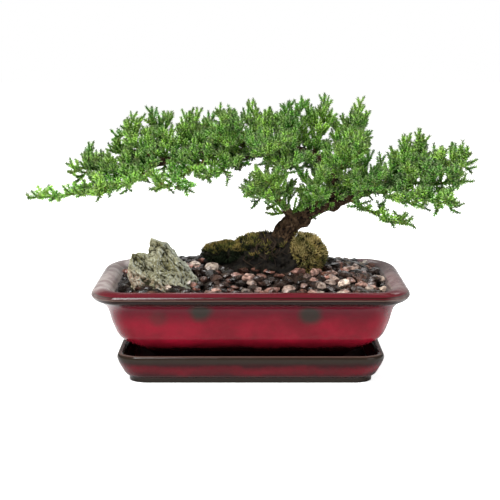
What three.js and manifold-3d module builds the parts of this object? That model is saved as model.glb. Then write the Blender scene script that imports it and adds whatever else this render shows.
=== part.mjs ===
// A windswept juniper bonsai in a glazed rectangular pot that stands in its drip tray.
// Millimetres, +Z up. The origin is the centre of the tray's underside, +X runs along the long side of
// the pot and -Y is the front.

import * as THREE from "three";
import Module from "manifold-3d";
import { mergeVertices } from "three/addons/utils/BufferGeometryUtils.js";

const wasm = await Module();
wasm.setup();

// Driving dimensions
const GAP = 0.4; // clearance between pieces that are cut to fit each other
// Half sizes of the pot and of the tray across their lips, and how much further the curves of their
// corners reach along the short sides than along the long ones
const RIM = { x: 110, y: 82.5, stretch: 1.8 };
const TRAY = { x: 92.5, y: 67, stretch: 1 };
const TRAY_FLOOR = 5;
const POT_FLOOR = 15;
const SOIL_TOP = 55;
const CORNER_STEPS = 4; // flats round each corner of the pot and the tray

// The stations of a wall: how far inside the lip's outline, the height, and how far the corner's curve
// reaches along the long side.
const POT_OUTSIDE = [
  [47, 9.5, 10],
  [42.5, 13, 11.5],
  [35, 19, 13],
  [26, 24.5, 14],
  [18.2, 31, 15],
  [14, 40, 16],
  [10.2, 52, 17],
  [6, 56.4, 18],
  [2, 58.6, 19],
  [0.4, 60, 20],
  [0, 61.6, 20],
  [1.2, 63.6, 19.5],
  [3.6, 65.3, 19],
  [6.6, 66, 18],
];
const GRAVEL_EDGE = 61; // height at which the gravel meets the wall
const POT_INSIDE = [
  [9.4, 65.5, 17.5],
  [12.5, 63.4, 16.5],
  [14.5, GRAVEL_EDGE, 15.5],
  [18.6, 57, 14],
  [22, 48, 12],
  [28, 35, 11],
  [38, 23, 10],
  [47, POT_FLOOR, 9],
];
const TRAY_OUTSIDE = [
  [8.4, 0, 13.5],
  [7.8, 3.4, 13.7],
  [6, 4.6, 14],
  [2.8, 10, 15.2],
  [0.8, 14.2, 16],
  [0, 17.2, 16.5],
  [0.6, 19.4, 16.2],
  [2, 20, 15.5],
];
const TRAY_INSIDE = [
  [4.4, 18.8, 14],
  [8.6, 11, 12],
  [12, 6.4, 11],
  [14.5, TRAY_FLOOR, 10],
];
const FOOT = { x: 50, y: 26, top: 10.4, bottomRadius: 6, topRadius: 7.5, sides: 10 };
const DRAIN = { x: 28, radius: 6, sides: 12 };

// The wood. A limb has its centre line and its radius from end to end.
const TRUNK = {
  line: [
    [18, -2, 66],
    [18.5, -2, 80],
    [21, -2, 89],
    [25, -2, 98],
    [33, -2, 107],
    [44, -2, 113.5],
    [55, -1, 118.5],
    [66, 0, 122],
  ],
  radii: [10.5, 9.6, 8.4, 7.4, 6.6, 5.8, 5.4, 5.2],
};
const TRUNK_HOLE = { x: 20, radius: 15, height: 60, sides: 12 }; // the plain hole that its foot stands in
const RIGHT_LIMB = {
  line: [[62, 0, 120.4], [83, 2, 127], [97, 3, 131], [109, 4, 135]],
  radii: [5, 4.2, 3.4, 2.7],
};
const CROWN_LIMB = {
  line: [
    [53, -1, 116],
    [59, 4, 130],
    [56, 7, 142],
    [40, 8, 152],
    [18, 7, 155],
    [-9, 5, 153],
    [-38, 3, 152],
    [-65, 0, 147],
    [-87, -3, 140],
  ],
  radii: [5, 4.8, 4.5, 4.2, 3.9, 3.6, 3.2, 2.7, 2.1],
};
const LOW_LIMB = { line: [[31, -3, 106], [24, -10, 116], [17, -13.5, 124]], radii: [4, 2.7, 1.9] };
const LIMBS = [RIGHT_LIMB, CROWN_LIMB, LOW_LIMB];
const KNOBS = [[38.5, -4, 105, 4.2], [59.5, -1, 116, 4], [47, 2, 120, 4.6]]; // old stubs: centre, radius
const BARK_RIDGE = 0.13; // height of the bark's ridges as a share of the limb's radius

// The foliage, one spray for each branchlet: its name, its stem from the limb outwards, the number of
// its side twigs, their longest reach, how far they tip up, and how far the shoots on them do. Twigs
// stand all round a steep stem, and left and right of a level one.
const SPRAYS = [
  ["left_tip", [[-88, -3, 140], [-109, -6, 130], [-134, -8, 124], [-158, -10, 123]], 5, 14, -0.02, 0.05],
  ["left_crest", [[-78, -2, 143], [-100, 6, 140], [-124, 5, 143]], 5, 12, 0.35, 0.5],
  ["left_mid", [[-64, 0, 147], [-79, -2, 158], [-90, -3, 172]], 4, 12, 0.4, 0.6],
  ["left_rise", [[-52, 1, 149], [-60, 2, 161], [-68, 3, 175]], 4, 13, 0.3, 0.6],
  ["left_back", [[-72, 0, 144], [-87, 24, 149], [-101, 38, 153]], 3, 16, 0.3, 0.6],
  ["left_under", [[-25, 4, 153], [-42, -12, 143], [-55, -20, 135], [-67, -23, 129]], 5, 17, -0.05, 0.1],
  ["left_fringe", [[3, 6, 155], [-10, -8, 149], [-22, -12, 142], [-36, -12, 137]], 4, 13, -0.1, 0.1],
  ["left_skirt", [[-65, 0, 147], [-82, -14, 136], [-99, -18, 129], [-112, -20, 126]], 4, 15, 0, 0.3],
  ["crown_left", [[-33, 3, 152], [-39, 4, 161], [-47, 5, 170]], 4, 14, 0.3, 0.6],
  ["crown_left_front", [[-12, 5, 153], [-18, -12, 161], [-27, -22, 172]], 4, 15, 0.3, 0.6],
  ["crown_left_back", [[-22, 4, 153], [-32, 28, 160], [-43, 44, 166]], 3, 16, 0.3, 0.6],
  ["crown_mid_left", [[-3, 5, 154], [-9, 0, 165], [-15, -2, 176]], 4, 14, 0.3, 0.6],
  ["crown_mid", [[12, 7, 155], [8, 6, 166], [2, 6, 175]], 4, 15, 0.3, 0.6],
  ["crown_mid_front", [[25, 7, 155], [16, -20, 156], [6, -38, 158]], 5, 17, 0.3, 0.7],
  ["crown_skirt", [[33, 8, 152.5], [27, -14, 146], [18, -30, 145]], 4, 15, 0.1, 0.3],
  ["crown_mid_right", [[33, 8, 153], [30, 2, 166], [28, -4, 179]], 4, 15, 0.3, 0.6],
  ["crown_mid_back", [[30, 8, 154], [26, 32, 163], [20, 50, 170]], 3, 17, 0.3, 0.6],
  ["crown_top", [[45, 8, 150], [48, 6, 166], [52, 5, 183]], 4, 15, 0.3, 0.6],
  ["crown_right", [[57, 7, 141], [69, 5, 160], [83, 6, 175]], 5, 15, 0.3, 0.6],
  ["crown_right_front", [[58, 6, 135], [68, -18, 149], [80, -34, 160]], 5, 17, 0.3, 0.7],
  ["crown_right_low", [[74, 1, 124], [78, -16, 130], [86, -30, 136]], 4, 14, 0.2, 0.5],
  ["crown_right_back", [[83, 2, 127], [78, 20, 150], [67, 25, 176]], 4, 16, 0.3, 0.6],
  ["right_upper", [[96, 3, 131], [110, 2, 146], [125, 4, 157]], 5, 13, 0.3, 0.6],
  ["right_tip", [[108, 4, 134.6], [132, 0, 142], [157, -2, 147]], 5, 15, 0.25, 0.6],
  ["right_mid", [[104, 3.5, 133.5], [130, -14, 133], [152, -22, 136]], 5, 14, 0.15, 0.4],
  ["right_low", [[100, 3, 132], [123, -18, 123], [146, -28, 119]], 5, 15, 0, 0.2],
  ["right_skirt", [[88, 2, 128.5], [102, -18, 123], [120, -30, 119]], 4, 14, 0.12, 0.3],
  ["right_back", [[93, 3, 130], [114, 28, 138], [135, 44, 142]], 4, 16, 0.25, 0.5],
  ["droop", [[68, 0, 122], [85, -10, 113], [102, -14, 106], [115, -16, 104]], 4, 11, 0, 0],
  ["low_left", [[18, -12, 121.5], [6, -17, 126], [-3, -20, 127]], 4, 14, 0.1, 0.3],
  ["low_fan", [[21, -11, 119], [17, -26, 130], [11, -34, 140]], 4, 15, 0.1, 0.4],
  ["low_mid", [[47, -2, 114], [46, -18, 126], [43, -30, 136]], 5, 16, 0, 0.3],
];
const STEM = { rootRadius: 1.6, tipRadius: 0.75, needlesFrom: 0.55 };
const TWIG = { rootRadius: 1.1, tipRadius: 0.75, needlesFrom: 0.3 };
const SHOOT = { rootRadius: 0.95, tipRadius: 0.75, needlesFrom: 0.1, length: 10.5 };
const NEEDLE = { length: 4.2, outward: 0.66, forward: 0.75, pitch: 5.4 }; // pitch: one six to the next
const END_NEEDLE = 2.2; // the point at the end of every stem, twig and shoot
// Room kept between two sprays' stems, between their needles, between needles of one spray, and between
// a needle and the stem or the limb that it passes
const CLEAR = { stems: 3.1, sprays: 0.5, needles: 0.2, ownStem: 1.7, bark: 0.8 };

// How finely an axis is tried against the other sprays, and the least share of it that is worth keeping
const SHORTEN = { steps: 12, least: 0.55 };

// The top dressing's pebbles, and the level that they lie at: heaped up towards the middle of the pot
const PEBBLE = { pitch: 15.7, height: 4, valley: 1.4, jitter: 2.5, reach: 4, slope: 0.9 };
const GRAVEL = { edge: 61.5, rise: 14, halfX: 104, halfY: 74, middleY: 14 };

// The rock: overlapping blocks, each with its faces as a direction and a distance from its centre
const ROCK = [
  {
    centre: [-60, -33, 68],
    faces: [
      [-1, 0, 0.1, 13.2], [0.3, 0, 0.95, 24.6], [0.76, 0, 0.65, 17.4], [1, 0, -0.3, 23],
      [0.1, -1, 0.25, 11.5], [-0.6, -0.8, 0.3, 13.5], [0.6, -0.8, 0.2, 17], [0, 1, 0.2, 11],
      [0.6, 0.8, 0.2, 16], [-0.6, 0.8, 0.3, 14], [0.1, -0.7, 0.9, 24],
    ],
  },
  {
    centre: [-77, -35, 70],
    faces: [
      [-0.98, 0, 0.19, 8.6], [-0.92, 0, -0.39, 7], [0.1, 0.1, 1, 16], [0, -1, 0.3, 8.5],
      [0, 1, 0.3, 9], [1, 0, 0, 12], [-0.7, -0.7, 0.2, 9.5], [-0.7, 0.7, 0.3, 10],
    ],
  },
  {
    centre: [-58, -43, 62],
    faces: [
      [-1, -0.2, 0.4, 13], [0.2, -1, 0.5, 8], [1, -0.4, 0.5, 13], [0, 0.2, 1, 12],
      [-0.5, -0.8, 0.7, 11], [0, 1, 0, 10],
    ],
  },
];

const BLOCK = 90; // side of the cube that a block starts as
const SLICE = 240; // side of the cube that cuts each face

// The lumps at the tree's foot: centre, half sizes, roughness, size of the bumps, seed and fineness
const ROOT_BALL = [[13, 1, 67], [39, 27, 28.5], 1.5, 9, 1, 2];
const MOSS_LEFT = [[-13, -2, 82.5], [23, 16, 6.5], 1.4, 4.6, 8, 2];
const MOSS_RIGHT = [[39.5, -6, 81], [14, 14, 15.5], 1.5, 3.6, 5, 2];

// Colour and roughness of each material
const GLAZE = [0x8c1526, 0.22];
const SOIL = [0x2b2019, 0.95];
const STONES = [0x8a6f64, 0.7];
const GREY_ROCK = [0x9a9d84, 0.85];
const EARTH = [0x261c14, 0.95];
const MOSS = [0x77702a, 0.95];
const BARK = [0x4a372c, 0.9];
const NEEDLES = [0x3f7a2c, 0.7];

const UP = new THREE.Vector3(0, 0, 1);

// A repeatable draw from 0 to 1 for three numbers.
function draw(a, b, c) {
  const v = Math.sin(a * 12.9898 + b * 78.233 + c * 37.719) * 43758.5453;
  return v - Math.floor(v);
}

// A smooth bumpy field over space, about -1 to 1, with bumps of a given size.
function bumps(x, y, z, size, seed) {
  const [u, v, w] = [x / size, y / size, z / size];
  const slow =
    Math.sin(u * 2.1 + v * 1.3 + seed) +
    Math.sin(v * 2.7 - w * 1.9 + seed * 2.3) +
    Math.sin(w * 2.3 + u * 1.7 - v * 0.6 + seed * 4.1);
  const quick = Math.sin(u * 5.3 + seed) * Math.sin(v * 4.7 - seed) * Math.sin(w * 5.1 + seed * 0.7);
  return slow / 3 + 0.45 * quick;
}

function vectors(points) {
  return points.map((p) => new THREE.Vector3(...p));
}

// A value from a list, `t` from 0 to 1 of the way along it.
function mix(values, t) {
  const at = Math.min(t * (values.length - 1), values.length - 1.000001);
  const k = Math.floor(at);
  return THREE.MathUtils.lerp(values[k], values[k + 1], at - k);
}

// Solids

// A closed triangle mesh as a solid.
function solidFrom(positions, triangles) {
  const vertProperties = Float32Array.from(positions.flatMap((p) => p.toArray()));
  return new wasm.Manifold(
    new wasm.Mesh({ numProp: 3, vertProperties, triVerts: Uint32Array.from(triangles.flat()) }),
  );
}

// A closed three.js geometry as a solid.
function solidOf(geometry) {
  geometry.deleteAttribute("normal");
  geometry.deleteAttribute("uv");
  const merged = mergeVertices(geometry, 1e-4);
  const positions = vectors(chunks(merged.attributes.position.array));
  return solidFrom(positions, chunks(merged.index.array));
}

function chunks(values) {
  return Array.from({ length: values.length / 3 }, (_, k) => Array.from(values.slice(3 * k, 3 * k + 3)));
}

// An upright round bar with its underside at `z`.
function uprightBar(x, y, z, bottomRadius, topRadius, height, sides) {
  const bar = new THREE.CylinderGeometry(topRadius, bottomRadius, height, sides);
  return solidOf(bar.rotateX(Math.PI / 2).translate(x, y, z + height / 2));
}

// The largest body of a solid: what a cut leaves loose is dropped.
function largestBody(solid) {
  return solid.decompose().reduce((best, body) => (body.volume() > best.volume() ? body : best));
}

// Pot and tray

// A ring of points round a rectangle whose corners are rounded, by so much along each of its sides.
function roundedRing(halfX, halfY, alongX, alongY, z) {
  const ring = [];
  for (const [sx, sy, start] of [[1, 1, 0], [-1, 1, 90], [-1, -1, 180], [1, -1, 270]]) {
    for (let k = 0; k <= CORNER_STEPS; k++) {
      const angle = THREE.MathUtils.degToRad(start + (90 * k) / CORNER_STEPS);
      const x = sx * (halfX - alongX) + alongX * Math.cos(angle);
      ring.push(new THREE.Vector3(x, sy * (halfY - alongY) + alongY * Math.sin(angle), z));
    }
  }
  return ring;
}

// A closed solid through rings of equal length: up the outside, and down the inside where there is one.
function loft(rings) {
  const n = rings[0].length;
  const positions = rings.flat();
  const triangles = [];
  for (let r = 0; r + 1 < rings.length; r++) {
    for (let k = 0; k < n; k++) {
      const [a, b] = [r * n + k, r * n + ((k + 1) % n)];
      triangles.push([a, b, b + n], [a, b + n, a + n]);
    }
  }
  const last = (rings.length - 1) * n;
  const under = positions.push(new THREE.Vector3(0, 0, rings[0][0].z)) - 1;
  const over = positions.push(new THREE.Vector3(0, 0, rings.at(-1)[0].z)) - 1;
  for (let k = 0; k < n; k++) {
    const next = (k + 1) % n;
    triangles.push([under, next, k], [over, last + k, last + next]);
  }
  return solidFrom(positions, triangles);
}

function wallRings({ x, y, stretch }, stations, inwards = 0) {
  return stations.map(([station, z, corner]) => {
    const inset = station + inwards;
    return roundedRing(x - inset, y - inset, corner, stretch * corner, z);
  });
}

function makeTray() {
  return loft([...wallRings(TRAY, TRAY_OUTSIDE), ...wallRings(TRAY, TRAY_INSIDE)]);
}

function makePot() {
  let pot = loft([...wallRings(RIM, POT_OUTSIDE), ...wallRings(RIM, POT_INSIDE)]);
  for (const sx of [-1, 1]) {
    for (const sy of [-1, 1]) {
      const { x, y, top, bottomRadius, topRadius, sides } = FOOT;
      const height = top - TRAY_FLOOR;
      pot = pot.add(uprightBar(sx * x, sy * y, TRAY_FLOOR, bottomRadius, topRadius, height, sides));
    }
    const { x, radius, sides } = DRAIN;
    pot = pot.subtract(uprightBar(sx * x, 0, 0, radius, radius, 2 * POT_FLOOR, sides));
  }
  return pot;
}

// What fills the pot between two heights, carried straight on up by `above`.
function fillingOfPot(low, high, above = 0) {
  const wall = [...POT_INSIDE].reverse();
  const at = (z) => {
    const k = Math.max(1, wall.findIndex((station) => station[1] >= z));
    const t = (z - wall[k - 1][1]) / (wall[k][1] - wall[k - 1][1]);
    return wall[k].map((value, i) => THREE.MathUtils.lerp(wall[k - 1][i], value, t));
  };
  const between = wall.filter(([, z]) => z > low + 0.5 && z < high - 0.5);
  const top = at(high);
  const stations = [at(low), ...between, top];
  if (above) stations.push([top[0], high + above, top[2]]);
  return loft(wallRings(RIM, stations, GAP));
}

// Wood

function smooth(line) {
  return new THREE.CatmullRomCurve3(line, false, "centripetal");
}

// Points and frames evenly spaced along a smooth curve.
function framesAlong(line, steps) {
  const curve = smooth(line);
  const frames = [];
  let side = Math.abs(curve.getTangentAt(0).z) < 0.8 ? UP : new THREE.Vector3(1, 0, 0);
  for (let k = 0; k <= steps; k++) {
    const point = curve.getPointAt(k / steps);
    const tangent = curve.getTangentAt(k / steps);
    side = side.clone().addScaledVector(tangent, -side.dot(tangent)).normalize();
    frames.push({ point, tangent, side, other: new THREE.Vector3().crossVectors(tangent, side) });
  }
  return frames;
}

// A point at an angle round a frame.
function around({ point, side, other }, radius, angle) {
  const corner = point.clone().addScaledVector(side, radius * Math.cos(angle));
  return corner.addScaledVector(other, radius * Math.sin(angle));
}

// A tapering limb with ridges of bark that wind round it; `grow` thickens it.
function barkTube({ line, radii }, sides, steps, grow) {
  const positions = [];
  const triangles = [];
  framesAlong(vectors(line), steps).forEach((frame, ring) => {
    for (let k = 0; k < sides; k++) {
      const ridge = 1 + BARK_RIDGE * bumps(3 * k, ring * 1.7, ring + k, 1.9, line[0][0]);
      const radius = mix(radii, ring / steps) * ridge + grow;
      positions.push(around(frame, radius, (2 * Math.PI * (k + 0.35 * ring)) / sides));
    }
  });
  for (let ring = 0; ring < steps; ring++) {
    for (let k = 0; k < sides; k++) {
      const [a, b] = [ring * sides + k, ring * sides + ((k + 1) % sides)];
      triangles.push([a, b, b + sides], [a, b + sides, a + sides]);
    }
  }
  const last = steps * sides;
  for (let k = 1; k + 1 < sides; k++) triangles.push([0, k + 1, k], [last, last + k, last + k + 1]);
  return solidFrom(positions, triangles);
}

function makeWood(grow = 0) {
  let wood = barkTube(TRUNK, 9, 12, grow);
  for (const limb of LIMBS) wood = wood.add(barkTube(limb, 6, Math.round(limb.line.length * 1.8), grow));
  for (const [x, y, z, radius] of KNOBS) {
    wood = wood.add(solidOf(new THREE.IcosahedronGeometry(radius + grow).translate(x, y, z)));
  }
  return wood;
}

// Foliage

// A stem, twig or shoot: its centre line, its kind, what it grows from and at which share of that.
function makeAxis(spray, line, kind, parent = null, share = 0) {
  const steps = Math.max(2, Math.round(smooth(line).getLength() / NEEDLE.pitch));
  const step = parent ? Math.min(parent.steps - 1, Math.floor(share * parent.steps)) : 0;
  return { spray, line, kind, parent, steps, step, branches: [] };
}

// A line that sets off from a point along `way` and bends upwards.
function bentLine(from, way, length, rise) {
  const middle = from.clone().addScaledVector(way, length * 0.5);
  const end = from.clone().addScaledVector(way, length);
  middle.z += rise * length * 0.1;
  end.z += rise * length * 0.35;
  return [from, middle, end];
}

// The way a branch sets off: at `spread` from its parent, turned by `turn` about it, then lifted.
function branchWay(tangent, turn, spread, lift) {
  const level = new THREE.Vector3().crossVectors(tangent, UP);
  if (level.length() < 0.3) level.set(1, 0, 0);
  level.normalize();
  const other = new THREE.Vector3().crossVectors(level, tangent);
  const way = tangent.clone().multiplyScalar(Math.cos(spread));
  way.addScaledVector(level, Math.sin(spread) * Math.cos(turn));
  way.addScaledVector(other, Math.sin(spread) * Math.sin(turn));
  return way.addScaledVector(UP, lift).normalize();
}

// A spray's stem, then its side twigs, each followed by the shoot on it.
function axesOfSpray([, points, twigs, reach, lift, rise], spray) {
  const stem = makeAxis(spray, vectors(points), STEM);
  const curve = smooth(stem.line);
  const chord = stem.line.at(-1).clone().sub(stem.line[0]);
  const steep = chord.z > 0.55 * chord.length();
  const axes = [stem];
  for (let k = 0; k < twigs; k++) {
    const share = 0.2 + (0.7 * (k + 0.5)) / twigs;
    const turn = (steep ? spray + 2.4 * k : Math.PI * k) + 0.5 * (draw(spray, k, 1) - 0.5);
    const spread = 0.9 + 0.3 * draw(spray, k, 8);
    const way = branchWay(curve.getTangentAt(share), turn, spread, lift + 0.15 * draw(spray, k, 2));
    const length = reach * (1.12 - 0.4 * share) * (0.85 + 0.3 * draw(spray, k, 3));
    const twig = makeAxis(spray, bentLine(curve.getPointAt(share), way, length, rise), TWIG, stem, share);
    axes.push(twig);
    const twigCurve = smooth(twig.line);
    const at = 0.34 + 0.2 * draw(spray, k, 4);
    const shootTurn = Math.PI * (k % 2) + 0.8 * (draw(spray, k, 7) - 0.5);
    const shootWay = branchWay(twigCurve.getTangentAt(at), shootTurn, 0.65, rise);
    const shootLength = SHOOT.length * (0.8 + 0.4 * draw(spray, k, 6));
    const shootLine = bentLine(twigCurve.getPointAt(at), shootWay, shootLength, 0.4);
    axes.push(makeAxis(spray, shootLine, SHOOT, twig, at));
  }
  return axes;
}

// The distance from a point to the straight pieces of a line.
function distanceTo(point, { line }) {
  const nearest = new THREE.Vector3();
  const distances = line.slice(1).map((end, k) => {
    new THREE.Line3(line[k], end).closestPointToPoint(point, true, nearest);
    return nearest.distanceTo(point);
  });
  return Math.min(...distances);
}

// Shortens an axis where it comes too near another spray, and says whether enough of it is left.
function keepClear(axis, others) {
  const curve = smooth(axis.line);
  const { steps, least } = SHORTEN;
  let free = 0;
  while (free < steps) {
    const point = curve.getPointAt((free + 1) / steps);
    if (others.some((other) => distanceTo(point, other) < CLEAR.stems)) break;
    free++;
  }
  if (free < steps) axis.line = [0, 0.5, 1].map((t) => curve.getPointAt((t * free) / steps));
  return free > least * steps;
}

function middleOf(face, mesh) {
  return face.reduce((sum, c) => sum.add(mesh.positions[c]), new THREE.Vector3()).divideScalar(3);
}

function outwardOf(face, { point, tangent }, mesh) {
  const outward = middleOf(face, mesh).sub(point);
  return outward.addScaledVector(tangent, -outward.dot(tangent)).normalize();
}

// Where the needle on one face ends, or null where there is no room for it.
function needleTip(axis, face, frame, mesh, hasRoom) {
  const root = middleOf(face, mesh);
  const reach = outwardOf(face, frame, mesh).multiplyScalar(NEEDLE.outward);
  reach.addScaledVector(frame.tangent, NEEDLE.forward);
  for (const share of [1, 0.85, 0.7]) {
    const tip = root.clone().addScaledVector(reach, NEEDLE.length * share);
    if (hasRoom(axis, tip) && hasRoom(axis, root.clone().lerp(tip, 0.6))) return tip;
  }
  return null;
}

// How far round the first frame the three corners of `root` start, on average.
function startAngle(root, { point, side, other }, mesh) {
  const sum = new THREE.Vector2();
  root.forEach((c, j) => {
    const arm = mesh.positions[c].clone().sub(point);
    const angle = Math.atan2(arm.dot(other), arm.dot(side)) - (2 * Math.PI * j) / 3;
    sum.add(new THREE.Vector2(Math.cos(angle), Math.sin(angle)));
  });
  return sum.angle();
}

// Grows an axis and all its branches out of the three corners of `root`. Each ring of three corners is
// turned by 60 degrees from the last, so that six faces lie between two rings. A branch takes the place
// of one of them, and a needle that of each other one where there is room for it.
function growAxis(axis, root, mesh, hasRoom) {
  const { kind, steps, branches } = axis;
  const frames = framesAlong(axis.line, steps);
  const start = startAngle(root, frames[0], mesh);
  let ring = root;
  for (let k = 1; k <= steps; k++) {
    const radius = THREE.MathUtils.lerp(kind.rootRadius, kind.tipRadius, k / steps);
    const next = [0, 1, 2].map((j) => {
      const angle = start + ((k + 2 * j) * Math.PI) / 3;
      return mesh.positions.push(around(frames[k], radius, angle)) - 1;
    });
    const faces = [0, 1, 2].flatMap((j) => {
      const after = (j + 1) % 3;
      return [[ring[j], ring[after], next[j]], [next[j], ring[after], next[after]]];
    });
    for (const branch of branches.filter(({ step }) => step === k - 1)) {
      const way = branch.line.at(-1).clone().sub(branch.line[0]);
      const facing = (face) => outwardOf(face, frames[k - 1], mesh).dot(way);
      const chosen = faces.reduce((best, face) => (facing(face) > facing(best) ? face : best));
      faces.splice(faces.indexOf(chosen), 1);
      branch.line[0] = middleOf(chosen, mesh);
      growAxis(branch, chosen, mesh, hasRoom);
    }
    const needled = (k - 0.5) / steps > kind.needlesFrom;
    for (const face of faces) {
      const tip = needled ? needleTip(axis, face, frames[k - 1], mesh, hasRoom) : null;
      if (tip) addPoint(mesh, face, tip);
      else mesh.triangles.push(face);
    }
    ring = next;
  }
  const { point, tangent } = frames[steps];
  addPoint(mesh, ring, point.clone().addScaledVector(tangent, END_NEEDLE));
}

// Raises a face to a point.
function addPoint(mesh, [a, b, c], point) {
  const tip = mesh.positions.push(point) - 1;
  mesh.triangles.push([a, b, tip], [b, c, tip], [c, a, tip]);
}

// The limbs as straight pieces, each with the room that needles leave it.
function limbPieces() {
  return [TRUNK, ...LIMBS].flatMap(({ line, radii }) => {
    const points = vectors(line);
    return points.slice(1).map((end, k) => ({
      line: [points[k], end],
      room: CLEAR.bark + (1 + BARK_RIDGE) * mix(radii, k / (points.length - 1)),
    }));
  });
}

// All the sprays: their axes are laid out first, each kept clear of the ones before it.
function makeFoliage(wood) {
  const axes = [];
  SPRAYS.forEach((spray, index) => {
    const others = axes.slice();
    for (const axis of axesOfSpray(spray, index)) {
      const { parent } = axis;
      if (parent && !(axes.includes(parent) && keepClear(axis, others))) continue;
      parent?.branches.push(axis);
      axes.push(axis);
    }
  });
  const limbs = limbPieces();
  // A needle ends nearer to its own axis than to any other but the one that carries it.
  const hasRoom = (axis, point) => {
    if (limbs.some((limb) => distanceTo(point, limb) < limb.room)) return false;
    const own = distanceTo(point, axis);
    return axes.every((other) => {
      if (other === axis) return true;
      const between = other.spray === axis.spray ? CLEAR.needles : CLEAR.sprays;
      return distanceTo(point, other) > (other === axis.parent ? CLEAR.ownStem : own + between);
    });
  };
  return SPRAYS.map(([name], index) => {
    const stem = axes.find((axis) => axis.spray === index);
    const start = framesAlong(stem.line, stem.steps)[0];
    const positions = [0, 1, 2].map((j) => around(start, STEM.rootRadius, (2 * Math.PI * j) / 3));
    const mesh = { positions, triangles: [[0, 2, 1]] };
    growAxis(stem, [0, 1, 2], mesh, hasRoom);
    return [name, largestBody(solidFrom(mesh.positions, mesh.triangles).subtract(wood))];
  });
}

// Rock, root ball and moss

// A block with a slice cut off along each of its faces.
function brokenStone({ centre, faces }, grow) {
  let stone = solidOf(new THREE.BoxGeometry(BLOCK, BLOCK, BLOCK));
  for (const [x, y, z, distance] of faces) {
    const slice = new THREE.BoxGeometry(SLICE, SLICE, SLICE).translate(0, 0, SLICE / 2 + distance + grow);
    const turn = new THREE.Quaternion().setFromUnitVectors(UP, new THREE.Vector3(x, y, z).normalize());
    stone = stone.subtract(solidOf(slice.applyQuaternion(turn)));
  }
  return stone.translate(centre);
}

function makeRock(grow = 0) {
  return ROCK.map((block) => brokenStone(block, grow)).reduce((sum, stone) => sum.add(stone));
}

// A lumpy ellipsoid; `grow` swells it.
function makeLump([centre, half, roughness, size, seed, detail], grow = 0) {
  const ball = new THREE.IcosahedronGeometry(1, detail);
  const places = ball.attributes.position;
  const way = new THREE.Vector3();
  for (let k = 0; k < places.count; k++) {
    way.fromBufferAttribute(places, k).normalize();
    const plain = 1 / Math.hypot(way.x / half[0], way.y / half[1], way.z / half[2]);
    const bump = roughness * bumps(way.x * plain, way.y * plain, way.z * plain, size, seed);
    way.multiplyScalar(plain + bump + grow);
    places.setXYZ(k, centre[0] + way.x, centre[1] + way.y, centre[2] + way.z);
  }
  return solidOf(ball);
}

// Gravel

// How high the pebbles lie at a place.
function gravelLevel(x, y) {
  const across = Math.max(0, 1 - (x / GRAVEL.halfX) ** 2);
  return GRAVEL.edge + GRAVEL.rise * across * Math.max(0, 1 - ((y - GRAVEL.middleY) / GRAVEL.halfY) ** 2);
}

// A sheet of pebbles down to a flat underside. It is a jittered triangular lattice, where each cell is
// one pebble: six corners in the valleys, shared with its neighbours, and three of its own on top.
function pebbleSheet(bottom) {
  const neighbours = [[1, 0], [0, 1], [-1, 1], [-1, 0], [0, -1], [1, -1]];
  const row = PEBBLE.pitch * Math.sqrt(0.75);
  const rows = Math.ceil(RIM.y / row);
  const columns = Math.ceil((RIM.x + RIM.y) / PEBBLE.pitch);
  const middle = (q, r) => {
    const x = PEBBLE.pitch * (q + r / 2) + PEBBLE.jitter * (2 * draw(q, r, 1) - 1);
    const y = row * r + PEBBLE.jitter * (2 * draw(q, r, 2) - 1);
    return [x, y];
  };
  const positions = [];
  const triangles = [];
  const shared = new Map();
  const valley = (cells) => {
    const key = cells.map(String).sort().join(" ");
    if (!shared.has(key)) {
      const [x, y] = [0, 1].map((i) => cells.reduce((sum, cell) => sum + middle(...cell)[i], 0) / 3);
      const z = gravelLevel(x, y) - PEBBLE.valley * (0.5 + draw(x, y, 3));
      shared.set(key, positions.push(new THREE.Vector3(x, y, z)) - 1);
    }
    return shared.get(key);
  };
  const addPebble = (q, r) => {
    const [x, y] = middle(q, r);
    const outer = neighbours.map(([dq, dr], k) => {
      const [eq, er] = neighbours[(k + 1) % 6];
      return valley([[q, r], [q + dq, r + dr], [q + eq, r + er]]);
    });
    const top = gravelLevel(x, y) + PEBBLE.height * (0.35 + 0.65 * draw(q, r, 5));
    const inner = [0, 1, 2].map((k) => {
      const angle = 0.7 * draw(q, r, 4) + (Math.PI * (2 * k + 1)) / 3;
      const reach = PEBBLE.reach * (0.7 + 0.6 * draw(q, r, 6 + k));
      const z = top - PEBBLE.slope * draw(q, r, 10 + k);
      const corner = new THREE.Vector3(x + reach * Math.cos(angle), y + reach * Math.sin(angle), z);
      return positions.push(corner) - 1;
    });
    for (let k = 0; k < 3; k++) {
      const [a, b, c] = [outer[2 * k], outer[2 * k + 1], outer[(2 * k + 2) % 6]];
      const next = inner[(k + 1) % 3];
      triangles.push([a, b, inner[k]], [b, next, inner[k]], [b, c, next]);
    }
    triangles.push(inner);
  };
  for (let r = -rows; r <= rows; r++) {
    for (let q = -columns; q <= columns; q++) if (Math.abs(middle(q, r)[0]) < RIM.x) addPebble(q, r);
  }
  closeBelow(positions, triangles, bottom);
  return solidFrom(positions, triangles);
}

// Drops the open edges of a sheet to a flat underside.
function closeBelow(positions, triangles, bottom) {
  const sides = triangles.flatMap(([a, b, c]) => [[a, b], [b, c], [c, a]]);
  const inside = new Set(sides.map(([a, b]) => `${b} ${a}`));
  const below = new Map();
  const dropped = (v) => {
    const { x, y } = positions[v];
    if (!below.has(v)) below.set(v, positions.push(new THREE.Vector3(x, y, bottom)) - 1);
    return below.get(v);
  };
  const middle = positions.push(new THREE.Vector3(0, 0, bottom)) - 1;
  for (const [a, b] of sides.filter(([a, b]) => !inside.has(`${a} ${b}`))) {
    triangles.push([b, a, dropped(a)], [b, dropped(a), dropped(b)], [dropped(b), dropped(a), middle]);
  }
}

// Assembly

const bonsai = new THREE.Group();

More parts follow.
